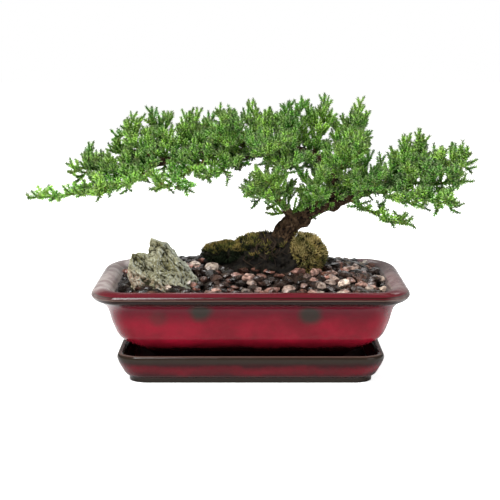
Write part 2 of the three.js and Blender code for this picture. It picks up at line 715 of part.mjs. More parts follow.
function addPiece(name, solid, [color, roughness]) {
  const { vertProperties, triVerts } = solid.getMesh();
  const geometry = new THREE.BufferGeometry();
  geometry.setAttribute("position", new THREE.BufferAttribute(vertProperties, 3));
  geometry.setIndex(new THREE.BufferAttribute(triVerts, 1));
  geometry.computeVertexNormals();
  const material = new THREE.MeshStandardMaterial({ color, roughness, metalness: 0, flatShading: true });
  const mesh = new THREE.Mesh(geometry, material);
  mesh.name = name;
  bonsai.add(mesh);
}

// The root ball and the rock stand on the soil, and the gravel is heaped up round them.
const underSoil = solidOf(new THREE.BoxGeometry(4 * RIM.x, 4 * RIM.y, 100).translate(0, 0, SOIL_TOP - 50));
const [, trunkY, trunkZ] = TRUNK.line[0];
const { x, radius, height, sides } = TRUNK_HOLE;
const trunkHole = uprightBar(x, trunkY, trunkZ - GAP, radius, radius, height, sides);
const aroundRootBall = makeLump(ROOT_BALL, GAP);
const aroundMossRight = makeLump(MOSS_RIGHT, GAP);
const mossLeft = makeLump(MOSS_LEFT).subtract(aroundRootBall).subtract(trunkHole).subtract(aroundMossRight);
const mossRight = makeLump(MOSS_RIGHT).subtract(aroundRootBall).subtract(trunkHole);
const heap = fillingOfPot(SOIL_TOP, GRAVEL_EDGE, GRAVEL.rise + PEBBLE.height);
const pebbles = heap.intersect(pebbleSheet(SOIL_TOP - 5));
const standing = [aroundRootBall, aroundMossRight, makeLump(MOSS_LEFT, GAP), makeRock(GAP)];
const gravel = standing.reduce((left, piece) => left.subtract(piece), pebbles);

addPiece("drip_tray", makeTray(), GLAZE);
addPiece("pot", makePot(), GLAZE);
addPiece("potting_soil", fillingOfPot(POT_FLOOR, SOIL_TOP), SOIL);
addPiece("gravel", largestBody(gravel), STONES);
addPiece("rock", makeRock().subtract(underSoil), GREY_ROCK);
addPiece("root_ball", makeLump(ROOT_BALL).subtract(trunkHole).subtract(underSoil), EARTH);
addPiece("moss_left", largestBody(mossLeft), MOSS);
addPiece("moss_right", largestBody(mossRight), MOSS);
addPiece("trunk_and_limbs", makeWood(), BARK);
for (const [name, solid] of makeFoliage(makeWood(GAP))) addPiece(`foliage_${name}`, solid, NEEDLES);

export default bonsai;
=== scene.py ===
"""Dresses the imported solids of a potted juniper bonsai: glaze, pebbles, rock, roots, moss, bark and needles.

Millimetres while a piece is modelled; its finished mesh is scaled to metres.
"""

import bisect
import math
import bmesh
import bpy
import numpy as np
from mathutils import Matrix, Vector, kdtree, noise


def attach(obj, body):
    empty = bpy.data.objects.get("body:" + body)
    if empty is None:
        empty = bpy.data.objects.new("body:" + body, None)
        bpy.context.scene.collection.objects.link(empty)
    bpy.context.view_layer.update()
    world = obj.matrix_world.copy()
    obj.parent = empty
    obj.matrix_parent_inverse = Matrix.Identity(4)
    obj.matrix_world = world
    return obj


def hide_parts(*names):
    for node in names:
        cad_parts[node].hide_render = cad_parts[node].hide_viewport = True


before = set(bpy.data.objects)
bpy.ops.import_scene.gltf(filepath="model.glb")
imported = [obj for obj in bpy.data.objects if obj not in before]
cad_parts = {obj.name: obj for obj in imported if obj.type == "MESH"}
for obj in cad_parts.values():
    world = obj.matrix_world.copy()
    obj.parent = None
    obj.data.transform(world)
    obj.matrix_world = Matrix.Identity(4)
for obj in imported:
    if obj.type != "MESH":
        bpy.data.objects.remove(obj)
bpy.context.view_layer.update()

bl_info = {
    "name": "Juniper Bonsai",
    "version": (1, 0, 0),
    "blender": (4, 5, 0),
    "location": "View3D > Sidebar > Bonsai",
    "description": "Models and finishes a windswept juniper in a glazed pot with its drip tray",
    "category": "Add Mesh",
}

MM = 0.001
UP = Vector((0, 0, 1))

# Half sizes of the pot and the tray across their lips, with how much further the corners' curves reach
# along the short sides than along the long ones. Then the stations of their walls: how far inside the
# lip's outline, the height, and how far the corners' curves reach along the long sides.
RIM = (110, 82.5, 1.8)
TRAY = (92.5, 67, 1)
POT_OUTSIDE = [
    (47, 9.5, 10), (42.5, 13, 11.5), (35, 19, 13), (26, 24.5, 14), (18.2, 31, 15), (14, 40, 16),
    (10.2, 52, 17), (6, 56.4, 18), (2, 58.6, 19), (0.4, 60, 20), (0, 61.6, 20), (1.2, 63.6, 19.5),
    (3.6, 65.3, 19), (6.6, 66, 18),
]
POT_INSIDE = [
    (9.4, 65.5, 17.5), (12.5, 63.4, 16.5), (14.5, 61, 15.5), (18.6, 57, 14), (22, 48, 12), (28, 35, 11),
    (38, 23, 10), (47, 15, 9),
]
GRAVEL_WALL = (14.5, 15.5)  # the inset of the wall at the gravel's edge, and its corners' reach
TRAY_OUTSIDE = [
    (8.4, 0, 13.5), (7.8, 3.4, 13.7), (6, 4.6, 14), (2.8, 10, 15.2), (0.8, 14.2, 16), (0, 17.2, 16.5),
    (0.6, 19.4, 16.2), (2, 20, 15.5),
]
TRAY_INSIDE = [(4.4, 18.8, 14), (8.6, 11, 12), (12, 6.4, 11), (14.5, 5, 10)]
CORNER_SEGMENTS = 12
RINGS_PER_STATION = 4
# The feet and the drain holes: where they are, and their heights and radii from bottom to top
FEET_AT, FOOT = (50, 26), (5, 10.4, 6, 7.5)
DRAINS_AT, DRAIN = 28, (0, 30, 6, 6)
BAR_SIDES = 32
# The tray's dull inside in metres: half its width, half its depth, and where it starts
DULL_INSIDE = (0.083, 0.057, 0.0045)
SOIL_TOP = 55

# The wood: centre lines and radii from end to end, and the old stubs
TRUNK = (
    [(18, -2, 66), (18.5, -2, 80), (21, -2, 89), (25, -2, 98), (33, -2, 107), (44, -2, 113.5),
     (55, -1, 118.5), (66, 0, 122)],
    [10.5, 9.6, 8.4, 7.4, 6.6, 5.8, 5.4, 5.2],
)
RIGHT_LIMB = ([(62, 0, 120.4), (83, 2, 127), (97, 3, 131), (109, 4, 135)], [5, 4.2, 3.4, 2.7])
CROWN_LIMB = (
    [(53, -1, 116), (59, 4, 130), (56, 7, 142), (40, 8, 152), (18, 7, 155), (-9, 5, 153), (-38, 3, 152),
     (-65, 0, 147), (-87, -3, 140)],
    [5, 4.8, 4.5, 4.2, 3.9, 3.6, 3.2, 2.7, 2.1],
)
LOW_LIMB = ([(31, -3, 106), (24, -10, 116), (17, -13.5, 124)], [4, 2.7, 1.9])
KNOBS = [(38.5, -4, 105, 4.2), (59.5, -1, 116, 4), (47, 2, 120, 4.6)]

# The sprays: stem, number of side twigs, their reach, how far they tip up, and how far their shoots do
SPRAYS = {
    "left_tip": ([(-88, -3, 140), (-109, -6, 130), (-134, -8, 124), (-158, -10, 123)], 5, 14, -0.02, 0.05),
    "left_crest": ([(-78, -2, 143), (-100, 6, 140), (-124, 5, 143)], 5, 12, 0.35, 0.5),
    "left_mid": ([(-64, 0, 147), (-79, -2, 158), (-90, -3, 172)], 4, 12, 0.4, 0.6),
    "left_rise": ([(-52, 1, 149), (-60, 2, 161), (-68, 3, 175)], 4, 13, 0.3, 0.6),
    "left_back": ([(-72, 0, 144), (-87, 24, 149), (-101, 38, 153)], 3, 16, 0.3, 0.6),
    "left_under": ([(-25, 4, 153), (-42, -12, 143), (-55, -20, 135), (-67, -23, 129)], 5, 17, -0.05, 0.1),
    "left_fringe": ([(3, 6, 155), (-10, -8, 149), (-22, -12, 142), (-36, -12, 137)], 4, 13, -0.1, 0.1),
    "left_skirt": ([(-65, 0, 147), (-82, -14, 136), (-99, -18, 129), (-112, -20, 126)], 4, 15, 0, 0.3),
    "crown_left": ([(-33, 3, 152), (-39, 4, 161), (-47, 5, 170)], 4, 14, 0.3, 0.6),
    "crown_left_front": ([(-12, 5, 153), (-18, -12, 161), (-27, -22, 172)], 4, 15, 0.3, 0.6),
    "crown_left_back": ([(-22, 4, 153), (-32, 28, 160), (-43, 44, 166)], 3, 16, 0.3, 0.6),
    "crown_mid_left": ([(-3, 5, 154), (-9, 0, 165), (-15, -2, 176)], 4, 14, 0.3, 0.6),
    "crown_mid": ([(12, 7, 155), (8, 6, 166), (2, 6, 175)], 4, 15, 0.3, 0.6),
    "crown_mid_front": ([(25, 7, 155), (16, -20, 156), (6, -38, 158)], 5, 17, 0.3, 0.7),
    "crown_skirt": ([(33, 8, 152.5), (27, -14, 146), (18, -30, 145)], 4, 15, 0.1, 0.3),
    "crown_mid_right": ([(33, 8, 153), (30, 2, 166), (28, -4, 179)], 4, 15, 0.3, 0.6),
    "crown_mid_back": ([(30, 8, 154), (26, 32, 163), (20, 50, 170)], 3, 17, 0.3, 0.6),
    "crown_top": ([(45, 8, 150), (48, 6, 166), (52, 5, 183)], 4, 15, 0.3, 0.6),
    "crown_right": ([(57, 7, 141), (69, 5, 160), (83, 6, 175)], 5, 15, 0.3, 0.6),
    "crown_right_front": ([(58, 6, 135), (68, -18, 149), (80, -34, 160)], 5, 17, 0.3, 0.7),
    "crown_right_low": ([(74, 1, 124), (78, -16, 130), (86, -30, 136)], 4, 14, 0.2, 0.5),
    "crown_right_back": ([(83, 2, 127), (78, 20, 150), (67, 25, 176)], 4, 16, 0.3, 0.6),
    "right_upper": ([(96, 3, 131), (110, 2, 146), (125, 4, 157)], 5, 13, 0.3, 0.6),
    "right_tip": ([(108, 4, 134.6), (132, 0, 142), (157, -2, 147)], 5, 15, 0.25, 0.6),
    "right_mid": ([(104, 3.5, 133.5), (130, -14, 133), (152, -22, 136)], 5, 14, 0.15, 0.4),
    "right_low": ([(100, 3, 132), (123, -18, 123), (146, -28, 119)], 5, 15, 0, 0.2),
    "right_skirt": ([(88, 2, 128.5), (102, -18, 123), (120, -30, 119)], 4, 14, 0.12, 0.3),
    "right_back": ([(93, 3, 130), (114, 28, 138), (135, 44, 142)], 4, 16, 0.25, 0.5),
    "droop": ([(68, 0, 122), (85, -10, 113), (102, -14, 106), (115, -16, 104)], 4, 11, 0, 0),
    "low_left": ([(18, -12, 121.5), (6, -17, 126), (-3, -20, 127)], 4, 14, 0.1, 0.3),
    "low_fan": ([(21, -11, 119), (17, -26, 130), (11, -34, 140)], 4, 15, 0.1, 0.4),
    "low_mid": ([(47, -2, 114), (46, -18, 126), (43, -30, 136)], 5, 16, 0, 0.3),
}
SHOOT_LENGTH = 10.5
# How near another spray an axis may come, how many places along it are tried, and how much has to be clear
CLEAR_OF_STEMS = 3.1
CLEAR_STEPS = 12
CLEAR_SHARE = 0.55
STEM_RADII, TWIG_RADII, SHOOT_RADII = (1.5, 0.6), (0.95, 0.5), (0.85, 0.55)

# The twigs that clothe the limbs between the sprays: from and to along the limb, how far apart they
# stand, and how long they are when they point up, level and down
CLOTHED_LIMBS = [
    (TRUNK, 0.6, 1.0, 1.9, (11, 12, 4)),
    (CROWN_LIMB, 0.04, 0.24, 1.7, (14, 14, 12)),
    (CROWN_LIMB, 0.24, 0.34, 2.0, (15, 14, 13)),
    (CROWN_LIMB, 0.34, 0.86, 1.8, (15, 15, 13)),
    (CROWN_LIMB, 0.86, 1.0, 1.8, (14, 14, 12)),
    (RIGHT_LIMB, 0.1, 1.0, 2.0, (18, 15, 6)),
    (LOW_LIMB, 0.15, 1.0, 2.2, (15, 14, 8)),
]
CLOTHED_STEMS = {
    "left_crest": (0.06, 1.0, 2.4, (8, 13, 16)),
    "left_tip": (0.04, 0.42, 2.6, (16, 12, 5)),
    "droop": None,
    "right_skirt": None,
}
OTHER_STEMS = (0.06, 0.9, 3.8, (11, 11, 9))
# The open sprays, and how much further their shoots stand apart. Their needles are longer by a factor,
# and so is the space between their whorls.
OPEN_SPRAYS = {
    "left_tip": 1.5, "droop": 1.5, "right_skirt": 1.3, "right_tip": 1.2, "right_mid": 1.2, "right_low": 1.15,
    "left_under": 1.15, "left_skirt": 1.15, "left_fringe": 1.15, "low_left": 1.15,
}
OPEN_NEEDLES = 1.22
OPEN_WHORLS = 1.35
# What the numbers of the random draws start at for side shoots, for twigs on stems and for twigs on limbs
SHOOT_SEEDS, STEM_SEEDS, LIMB_SEEDS = 3000, 7000, 9000

# The rock's blocks: centre, and faces as a direction and a distance
ROCK = [
    ((-60, -33, 68), [
        (-1, 0, 0.1, 13.2), (0.3, 0, 0.95, 24.6), (0.76, 0, 0.65, 17.4), (1, 0, -0.3, 23),
        (0.1, -1, 0.25, 11.5), (-0.6, -0.8, 0.3, 13.5), (0.6, -0.8, 0.2, 17), (0, 1, 0.2, 11),
        (0.6, 0.8, 0.2, 16), (-0.6, 0.8, 0.3, 14), (0.1, -0.7, 0.9, 24),
    ]),
    ((-77, -35, 70), [
        (-0.98, 0, 0.19, 8.6), (-0.92, 0, -0.39, 7), (0.1, 0.1, 1, 16), (0, -1, 0.3, 8.5), (0, 1, 0.3, 9),
        (1, 0, 0, 12), (-0.7, -0.7, 0.2, 9.5), (-0.7, 0.7, 0.3, 10),
    ]),
    ((-58, -43, 62), [
        (-1, -0.2, 0.4, 13), (0.2, -1, 0.5, 8), (1, -0.4, 0.5, 13), (0, 0.2, 1, 12), (-0.5, -0.8, 0.7, 11),
        (0, 1, 0, 10),
    ]),
]

# The lumps at the tree's foot: centre, half sizes, roughness, size of the bumps and seed
ROOT_BALL = ((13, 1, 67), (39, 27, 28.5), 1.5, 9, 1)
MOSS_LEFT = ((-13, -2, 82.5), (23, 16, 6.5), 1.4, 4.6, 8)
MOSS_RIGHT = ((39.5, -6, 81), (14, 14, 15.5), 1.5, 3.6, 5)

# The level that the pebbles lie at: heaped up towards the middle of the pot
GRAVEL = {"edge": 61.5, "rise": 14, "half_x": 104, "half_y": 74, "middle_y": 14}
# Its two layers: how far apart the pebbles are in their lengths, how deep they sink, and their brightness,
# which for the sunken lower layer is painted shade in the gaps
PEBBLE_LAYERS = [(0.80, 2.4, 0.35), (0.92, 0.2, 1)]

# Metres and degrees: the camera, and the lights with their place, size and power
CAMERA = {"place": (-0.00043, -1.059, 0.2396), "pitch": 8.365, "lens": 107.06, "sensor": 36}
LIGHTS = [
    ("key", (-0.5, -0.8, 1.3), 0.6, 36),
    ("fill", (1.1, -0.9, 0.6), 0.9, 6),
    ("back", (0.2, 1.1, 1.2), 1.0, 8),
]
LIT_PLACE = Vector((0, 0, 0.1))
FLOOR_HALF = 6
FLOOR_GLOW = {"To Min": 0.12, "To Max": 0.75}  # on other rays, and as the camera sees it
WORLD_LIGHT = 0.3


# Sizes and colours


def length_property(name, description, default, low, high):
    return bpy.props.FloatProperty(
        name=name, description=description, default=default, min=low, max=high, unit="LENGTH", precision=5
    )


def colour_property(name, description, default):
    return bpy.props.FloatVectorProperty(
        name=name, description=description, default=default, min=0, max=1, subtype="COLOR"
    )


class BonsaiSizes(bpy.types.PropertyGroup):
    needle_length: length_property("Needle length", "Length of a full-grown needle", 0.0028, 0.001, 0.01)
    whorl_spacing: length_property(
        "Whorl spacing", "From one ring of three needles to the next", 0.00104, 0.0006, 0.004
    )
    shoot_spacing: length_property(
        "Shoot spacing", "From one side shoot to the next along a twig", 0.0019, 0.001, 0.01
    )
    pebble_length: length_property("Pebble length", "Length of a middling pebble", 0.0108, 0.003, 0.02)
    moss_height: length_property("Moss height", "Height of the moss's blades", 0.0032, 0.0005, 0.01)
    bark_depth: length_property("Bark depth", "Depth of the cracks between flakes of bark", 0.0013, 0, 0.004)


class BonsaiColours(bpy.types.PropertyGroup):
    glaze: colour_property("Glaze", "Crimson glaze on the walls", (0.235, 0.006, 0.019))
    # Painted shade: this colour darkens the pot's rounded underside and the tray's floor and walls beside the
    # pot. A share of it also goes into the glaze's random dull blotches.
    glaze_dark_and_painted_shade: colour_property("Glaze shade", "Where the glaze lies thick and dark", (0.028, 0.004, 0.005))
    glaze_break: colour_property("Glaze break", "Where the glaze runs thin on an edge", (0.02, 0.013, 0.009))
    # The needles blend from old to young by their tone, which is partly painted light: lower on twigs inside
    # the tree, higher on shoots that point up.
    young_and_lit_needle: colour_property("Young needle", "Needles at the ends of the shoots", (0.42, 0.8, 0.11))
    old_and_shaded_needle: colour_property("Old needle", "Needles inside the tree", (0.018, 0.14, 0.006))
    bark: colour_property("Bark", "Flakes of the bark", (0.09, 0.055, 0.03))
    moss: colour_property("Moss", "Tips of the moss", (0.34, 0.25, 0.075))
    rock: colour_property("Rock", "Faces of the rock", (0.295, 0.285, 0.19))


# Lines and random draws


def draw(a, b, c):
    """A repeatable draw from 0 to 1 for three numbers."""
    value = math.sin(a * 12.9898 + b * 78.233 + c * 37.719) * 43758.5453
    return value - math.floor(value)


def drawn_vector(a, b, first):
    """A repeatable way for two numbers, from three draws that follow each other."""
    return Vector([draw(a, b, first + j) - 0.5 for j in range(3)])


def unit(value):
    """A value kept from 0 to 1."""
    return min(1.0, max(0.0, value))


def bumps(place, size, seed):
    """A smooth bumpy field over space, about -1 to 1, with bumps of a given size."""
    u, v, w = place / size
    slow = (
        math.sin(u * 2.1 + v * 1.3 + seed)
        + math.sin(v * 2.7 - w * 1.9 + seed * 2.3)
        + math.sin(w * 2.3 + u * 1.7 - v * 0.6 + seed * 4.1)
    )
    quick = math.sin(u * 5.3 + seed) * math.sin(v * 4.7 - seed) * math.sin(w * 5.1 + seed * 0.7)
    return slow / 3 + 0.45 * quick


def mix(values, share):
    """A value from a list, share 0 to 1 of the way along it."""
    at = min(share, 0.999999) * (len(values) - 1)
    k = int(at)
    return values[k] + (values[k + 1] - values[k]) * (at - k)


class Path:
    """A smooth line through points that is measured along its length."""

    SAMPLES = 16

    def __init__(self, points):
        knots = [Vector(p) for p in points]
        knots = [2 * knots[0] - knots[1], *knots, 2 * knots[-1] - knots[-2]]
        self.places = [knots[1].copy()]
        for a, b, c, d in zip(knots, knots[1:], knots[2:], knots[3:]):
            first, middle, last = [math.sqrt((q - p).length) for p, q in ((a, b), (b, c), (c, d))]
            leaving = middle * ((b - a) / first - (c - a) / (first + middle) + (c - b) / middle)
            arriving = middle * ((c - b) / middle - (d - b) / (middle + last) + (d - c) / last)
            for k in range(1, self.SAMPLES + 1):
                t = k / self.SAMPLES
                rise = t * t * (3 - 2 * t)
                place = b + (c - b) * rise + leaving * (t * (1 - t) ** 2) - arriving * (t * t * (1 - t))
                self.places.append(place)
        self.marks = [0.0]
        for p, q in zip(self.places, self.places[1:]):
            self.marks.append(self.marks[-1] + (q - p).length)
        self.length = self.marks[-1]

    def at(self, share):
        mark = share * self.length
        k = min(max(bisect.bisect_right(self.marks, mark) - 1, 0), len(self.places) - 2)
        span = self.marks[k + 1] - self.marks[k]
        return self.places[k].lerp(self.places[k + 1], min(1, (mark - self.marks[k]) / span))

    def way(self, share):
        return (self.at(min(1, share + 0.02)) - self.at(max(0, share - 0.02))).normalized()

    def frames(self, steps):
        """Matrices evenly spaced along the line, with Z along it and no twist from one to the next."""
        side = UP if abs(self.way(0).z) < 0.8 else Vector((1, 0, 0))
        found = []
        for k in range(steps + 1):
            way = self.way(k / steps)
            side = (side - way * side.dot(way)).normalized()
            turn = Matrix((side, way.cross(side), way)).transposed()
            found.append(Matrix.Translation(self.at(k / steps)) @ turn.to_4x4())
        return found


# Meshes


def add_ring(bm, matrix, radius, sides):
    """A ring of edges across a matrix's Z."""
    made = bmesh.ops.create_circle(bm, cap_ends=False, segments=sides, radius=radius, matrix=matrix)
    return edges_of(made["verts"])


def edges_of(verts):
    return list({edge for vert in verts for edge in vert.link_edges})


def skin_rings(bm, rings):
    """Joins rings of edges one after another, and closes both ends."""
    for low, high in zip(rings, rings[1:]):
        bmesh.ops.bridge_loops(bm, edges=low + high)
    for ring in (rings[0], rings[-1]):
        bmesh.ops.edgenet_fill(bm, edges=ring)


def add_tube(bm, path, radii, sides, steps):
    """A round bar along a path, thick as a list of radii says."""
    frames = enumerate(path.frames(steps))
    skin_rings(bm, [add_ring(bm, matrix, mix(radii, k / steps), sides) for k, matrix in frames])


def move_verts(bm, places):
    for vert, place in zip(bm.verts, places):
        vert.co = place


def slice_off(bm, place, way):
    """Cuts off what lies beyond a plane, and closes the cut."""
    cut = bmesh.ops.bisect_plane(
        bm, geom=bm.verts[:] + bm.edges[:] + bm.faces[:], plane_co=place, plane_no=way, clear_outer=True
    )
    rim = [item for item in cut["geom_cut"] if isinstance(item, bmesh.types.BMEdge)]
    bmesh.ops.edgenet_fill(bm, edges=rim)


def mesh_of(bm, name):
    """Makes a bmesh a mesh."""
    mesh = bpy.data.meshes.new(name)
    bm.to_mesh(mesh)
    bm.free()
    return mesh


def pour_into(bm, other):
    """Adds a bmesh to another, and frees it."""
    mesh = mesh_of(other, "poured")
    bm.from_mesh(mesh)
    bpy.data.meshes.remove(mesh)


def placed(name, data):
    """A new object in the scene."""
    item = bpy.data.objects.new(name, data)
    bpy.context.scene.collection.objects.link(item)
    return item


def evaluated(item):
    """An object's mesh as its modifiers leave it."""
    result = bmesh.new()
    result.from_object(item, bpy.context.evaluated_depsgraph_get())
    return result


def discard(item):
    """Takes an object and its mesh away again."""
    mesh = item.data
    bpy.data.objects.remove(item)
    bpy.data.meshes.remove(mesh)


def search_tree(places):
    """Finds the nearest of some places."""
    tree = kdtree.KDTree(len(places))
    for k, place in enumerate(places):
        tree.insert(place, k)
    tree.balance()
    return tree


def finish_piece(bm, name, material, nodes, smooth=True):
    """Makes a mesh in millimetres an object in metres that rides on the tree and stands for CAD nodes."""
    bmesh.ops.scale(bm, vec=(MM, MM, MM), verts=bm.verts)
    mesh = mesh_of(bm, name)
    mesh.polygons.foreach_set("use_smooth", [smooth] * len(mesh.polygons))
    mesh.materials.append(material)
    piece = placed(name, mesh)
    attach(piece, "root")
    if nodes:
        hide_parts(*nodes)
    return piece


def set_values(piece, name, values):
    """Stores one value for each vertex, for the material to read."""
    attribute = piece.data.attributes.new(name, "FLOAT", "POINT")
    attribute.data.foreach_set("value", np.asarray(values, np.float32))


def remeshed(bm, voxel):
    """One closed skin round everything in a mesh, in even squares."""
    scratch = placed("remeshed", mesh_of(bm, "remeshed"))
    modifier = scratch.modifiers.new("skin", "REMESH")
    modifier.mode = "VOXEL"
    modifier.voxel_size = voxel
    skin = evaluated(scratch)
    discard(scratch)
    skin.normal_update()
    return skin


class Stamp:
    """A small shape that is set down many times."""

    def __init__(self, bm, mark=None):
        bmesh.ops.recalc_face_normals(bm, faces=bm.faces)
        self.marks = [mark(vert.co) if mark else 0.0 for vert in bm.verts]
        self.mesh = mesh_of(bm, "stamp")
        self.places = np.array([vert.co for vert in self.mesh.vertices], np.float64)

    def set_down(self, bm, matrix):
        rows = np.array(matrix)
        places = self.places @ rows[:3, :3].T + rows[:3, 3]
        self.mesh.vertices.foreach_set("co", places.astype(np.float32).ravel())
        bm.from_mesh(self.mesh)


class Patch:
    """A mesh made of stamps, with a mark along each stamp's shape and a tone for each stamp."""

    def __init__(self):
        self.bm = bmesh.new()
        self.marks = []
        self.tones = []

    def add(self, stamp, matrix, tone):
        stamp.set_down(self.bm, matrix)
        self.marks.extend(stamp.marks)
        self.tones.extend([tone] * len(stamp.marks))


def standing(place, way, roll, scale):
    """A matrix that stands a stamp on a place with its Z along `way`."""
    turn = way.to_track_quat("Z", "Y").to_matrix().to_4x4()
    return Matrix.Translation(place) @ turn @ Matrix.Rotation(roll, 4, "Z") @ Matrix.Diagonal((*scale, 1))


# Materials

# The glaze: on edges, where the pale line is partly a painted highlight; on the lip's top, and painted shade
# down from the lip and in the cove under it
PALE_EDGE_AND_HIGHLIGHT, DARK_EDGE = (0.1, 0.062, 0.05, 1), (0.02, 0.006, 0.004, 1)
LIP_TOP, UNDER_LIP_SHADE, UPPER_WALL_SHADE = (0.095, 0.008, 0.014, 1), (0.010, 0.003, 0.002, 1), (0.085, 0.006, 0.013, 1)
# Where the pot is stained, and the pale on the slope inside the rim, which at the lip's corners is a painted
# reflection
STAIN = (0.018, 0.026, 0.02, 1)
PALE_GLAZE_AND_REFLECTION = (0.28, 0.235, 0.22, 1), (0.56, 0.48, 0.455, 1)
# The pebbles' colours, from the darkest tone to the lightest
PEBBLE_TONES = [
    (0.0, (0.010, 0.007, 0.006)), (0.22, (0.032, 0.021, 0.017)), (0.38, (0.10, 0.050, 0.038)),
    (0.52, (0.26, 0.125, 0.098)), (0.62, (0.11, 0.085, 0.077)), (0.74, (0.38, 0.23, 0.19)),
    (0.88, (0.25, 0.22, 0.19)), (1.0, (0.66, 0.55, 0.46)),
]
# Moss golden on its brightest blades, partly painted light; painted shade; and dark down among the blades,
# partly painted shade
MOSS_LIT_GOLD, MOSS_SHADE, MOSS_ROOT_SHADE = (0.52, 0.42, 0.18, 1), (0.009, 0.015, 0.006, 1), (0.01, 0.009, 0.005, 1)
# Bark flakes, and painted shade in the cracks between them
BARK_FLAKE, BARK_CRACK_SHADE = (0.2, 0.13, 0.08, 1), (0.005, 0.003, 0.003, 1)
# The rock: its warm foot, its right side, its ridges, and painted shade in its crevices
ROCK_FOOT, ROCK_SIDE = (0.30, 0.19, 0.14, 1), (0.36, 0.38, 0.33, 1)
ROCK_RIDGE, ROCK_CREVICE_SHADE = (0.68, 0.70, 0.55, 1), (0.025, 0.023, 0.009, 1)
ROOT = (0.034, 0.021, 0.013, 1)
# Painted shade at a needle's base and a painted highlight at its tip, the needles at a shoot's end, and the
# bark of twigs
NEEDLE_BASE_SHADE, NEEDLE_TIP_HIGHLIGHT, SHOOT_END = (0.006, 0.035, 0.004, 1), (0.7, 0.93, 0.46, 1), (0.085, 0.078, 0.066, 1)
TWIG_BARK = (0.09, 0.045, 0.02, 1), (0.24, 0.13, 0.055, 1)


class Nodes:
    """Adds nodes to a tree, and links whatever input is given a socket."""

    def __init__(self, tree):
        self.tree = tree

    def give(self, socket, value):
        """Links a socket to an input, or sets a value there."""
        if isinstance(value, bpy.types.NodeSocket):
            self.tree.links.new(value, socket)
        else:
            socket.default_value = value

    def add(self, kind, inputs=(), **settings):
        node = self.tree.nodes.new("ShaderNode" + kind)
        for key, value in settings.items():
            setattr(node, key, value)
        for key, value in dict(inputs).items():
            self.give(node.inputs[key], value)
        return node

    def place(self):
        """Where a point of the object is, in millimetres."""
        coordinates = self.add("TexCoord").outputs["Object"]
        return self.add("Mapping", {"Vector": coordinates, "Scale": (1 / MM,) * 3}).outputs["Vector"]

    def height(self):
        return self.add("SeparateXYZ", {"Vector": self.place()}).outputs["Z"]

    def value(self, name):
        return self.add("Attribute", attribute_name=name).outputs["Fac"]

    def noise(self, place, scale, detail=4, roughness=0.55):
        inputs = {"Vector": place, "Scale": scale, "Detail": detail, "Roughness": roughness}
        return self.add("TexNoise", inputs).outputs["Fac"]

    def spread(self, value, low, high, new_low=0.0, new_high=1.0):
        """Carries a value from one range to another, smoothly, and keeps it there."""
        inputs = {"Value": value, "From Min": low, "From Max": high, "To Min": new_low, "To Max": new_high}
        return self.add("MapRange", inputs, interpolation_type="SMOOTHSTEP").outputs["Result"]

    def maths(self, operation, first, second=0.0, clamp=False):
        return self.add("Math", {0: first, 1: second}, operation=operation, use_clamp=clamp).outputs[0]

    def blend(self, share, first, second, kind="MIX"):
        """Mixes two colours."""
        node = self.add("Mix", {0: share, 6: first, 7: second}, data_type="RGBA", blend_type=kind)
        return node.outputs[2]

    def ramp(self, value, stops):
        node = self.add("ValToRGB", {"Fac": value})
        for place, _ in stops[1:-1]:
            node.color_ramp.elements.new(place)
        for element, (place, colour) in zip(node.color_ramp.elements, stops):
            element.position = place
            element.color = (*colour, 1)
        return node.outputs["Color"]

    def group(self, tree, inputs):
        return self.add("Group", inputs, node_tree=tree).outputs

    def mottle(self, light, dark, scale, speckle):
        inputs = {"Light": light, "Dark": dark, "Scale": scale, "Speckle": speckle}
        return self.group(mottle_group(), inputs)["Colour"]

    def relief(self, scale, strength, depth):
        return self.group(relief_group(), {"Scale": scale, "Strength": strength, "Depth": depth})


def new_group(name, inputs, outputs):
    """An empty node group with its sockets, and what adds its nodes."""
    tree = bpy.data.node_groups.new(name, "ShaderNodeTree")
    for label, kind in inputs.items():
        tree.interface.new_socket(label, in_out="INPUT", socket_type="NodeSocket" + kind)
    for label, kind in outputs.items():
        tree.interface.new_socket(label, in_out="OUTPUT", socket_type="NodeSocket" + kind)
    given = tree.nodes.new("NodeGroupInput").outputs
    result = tree.nodes.new("NodeGroupOutput").inputs
    return tree, Nodes(tree), given, result


def mottle_group():
    """Blotches of two colours, with a finer speckle that darkens them."""
    found = bpy.data.node_groups.get("mottle")
    if found:
        return found
    inputs = {"Light": "Color", "Dark": "Color", "Scale": "Float", "Speckle": "Float"}
    tree, nodes, given, result = new_group("mottle", inputs, {"Colour": "Color", "Mask": "Float"})
    place = nodes.place()
    broad = nodes.noise(place, given["Scale"], 5, 0.6)
    fine = nodes.noise(place, nodes.maths("MULTIPLY", given["Scale"], 7.3), 3, 0.6)
    mask = nodes.spread(broad, 0.36, 0.64)
    colour = nodes.blend(mask, given["Dark"], given["Light"])
    dimmed = nodes.maths("MULTIPLY", nodes.spread(fine, 0.45, 0.72), given["Speckle"])
    colour = nodes.blend(dimmed, colour, given["Dark"])
    tree.links.new(colour, result["Colour"])
    tree.links.new(mask, result["Mask"])
    return tree


def relief_group():
    """Fine bumps as a normal, and their height."""
    found = bpy.data.node_groups.get("relief")
    if found:
        return found
    inputs = {"Scale": "Float", "Strength": "Float", "Depth": "Float"}
    tree, nodes, given, result = new_group("relief", inputs, {"Normal": "Vector", "Height": "Float"})
    place = nodes.place()
    broad = nodes.noise(place, given["Scale"], 6, 0.6)
    fine = nodes.noise(place, nodes.maths("MULTIPLY", given["Scale"], 4.1), 4, 0.65)
    height = nodes.maths("ADD", broad, nodes.maths("MULTIPLY", fine, 0.4))
    bump = nodes.add("Bump", {"Height": height, "Strength": given["Strength"], "Distance": given["Depth"]})
    tree.links.new(bump.outputs["Normal"], result["Normal"])
    tree.links.new(height, result["Height"])
    return tree


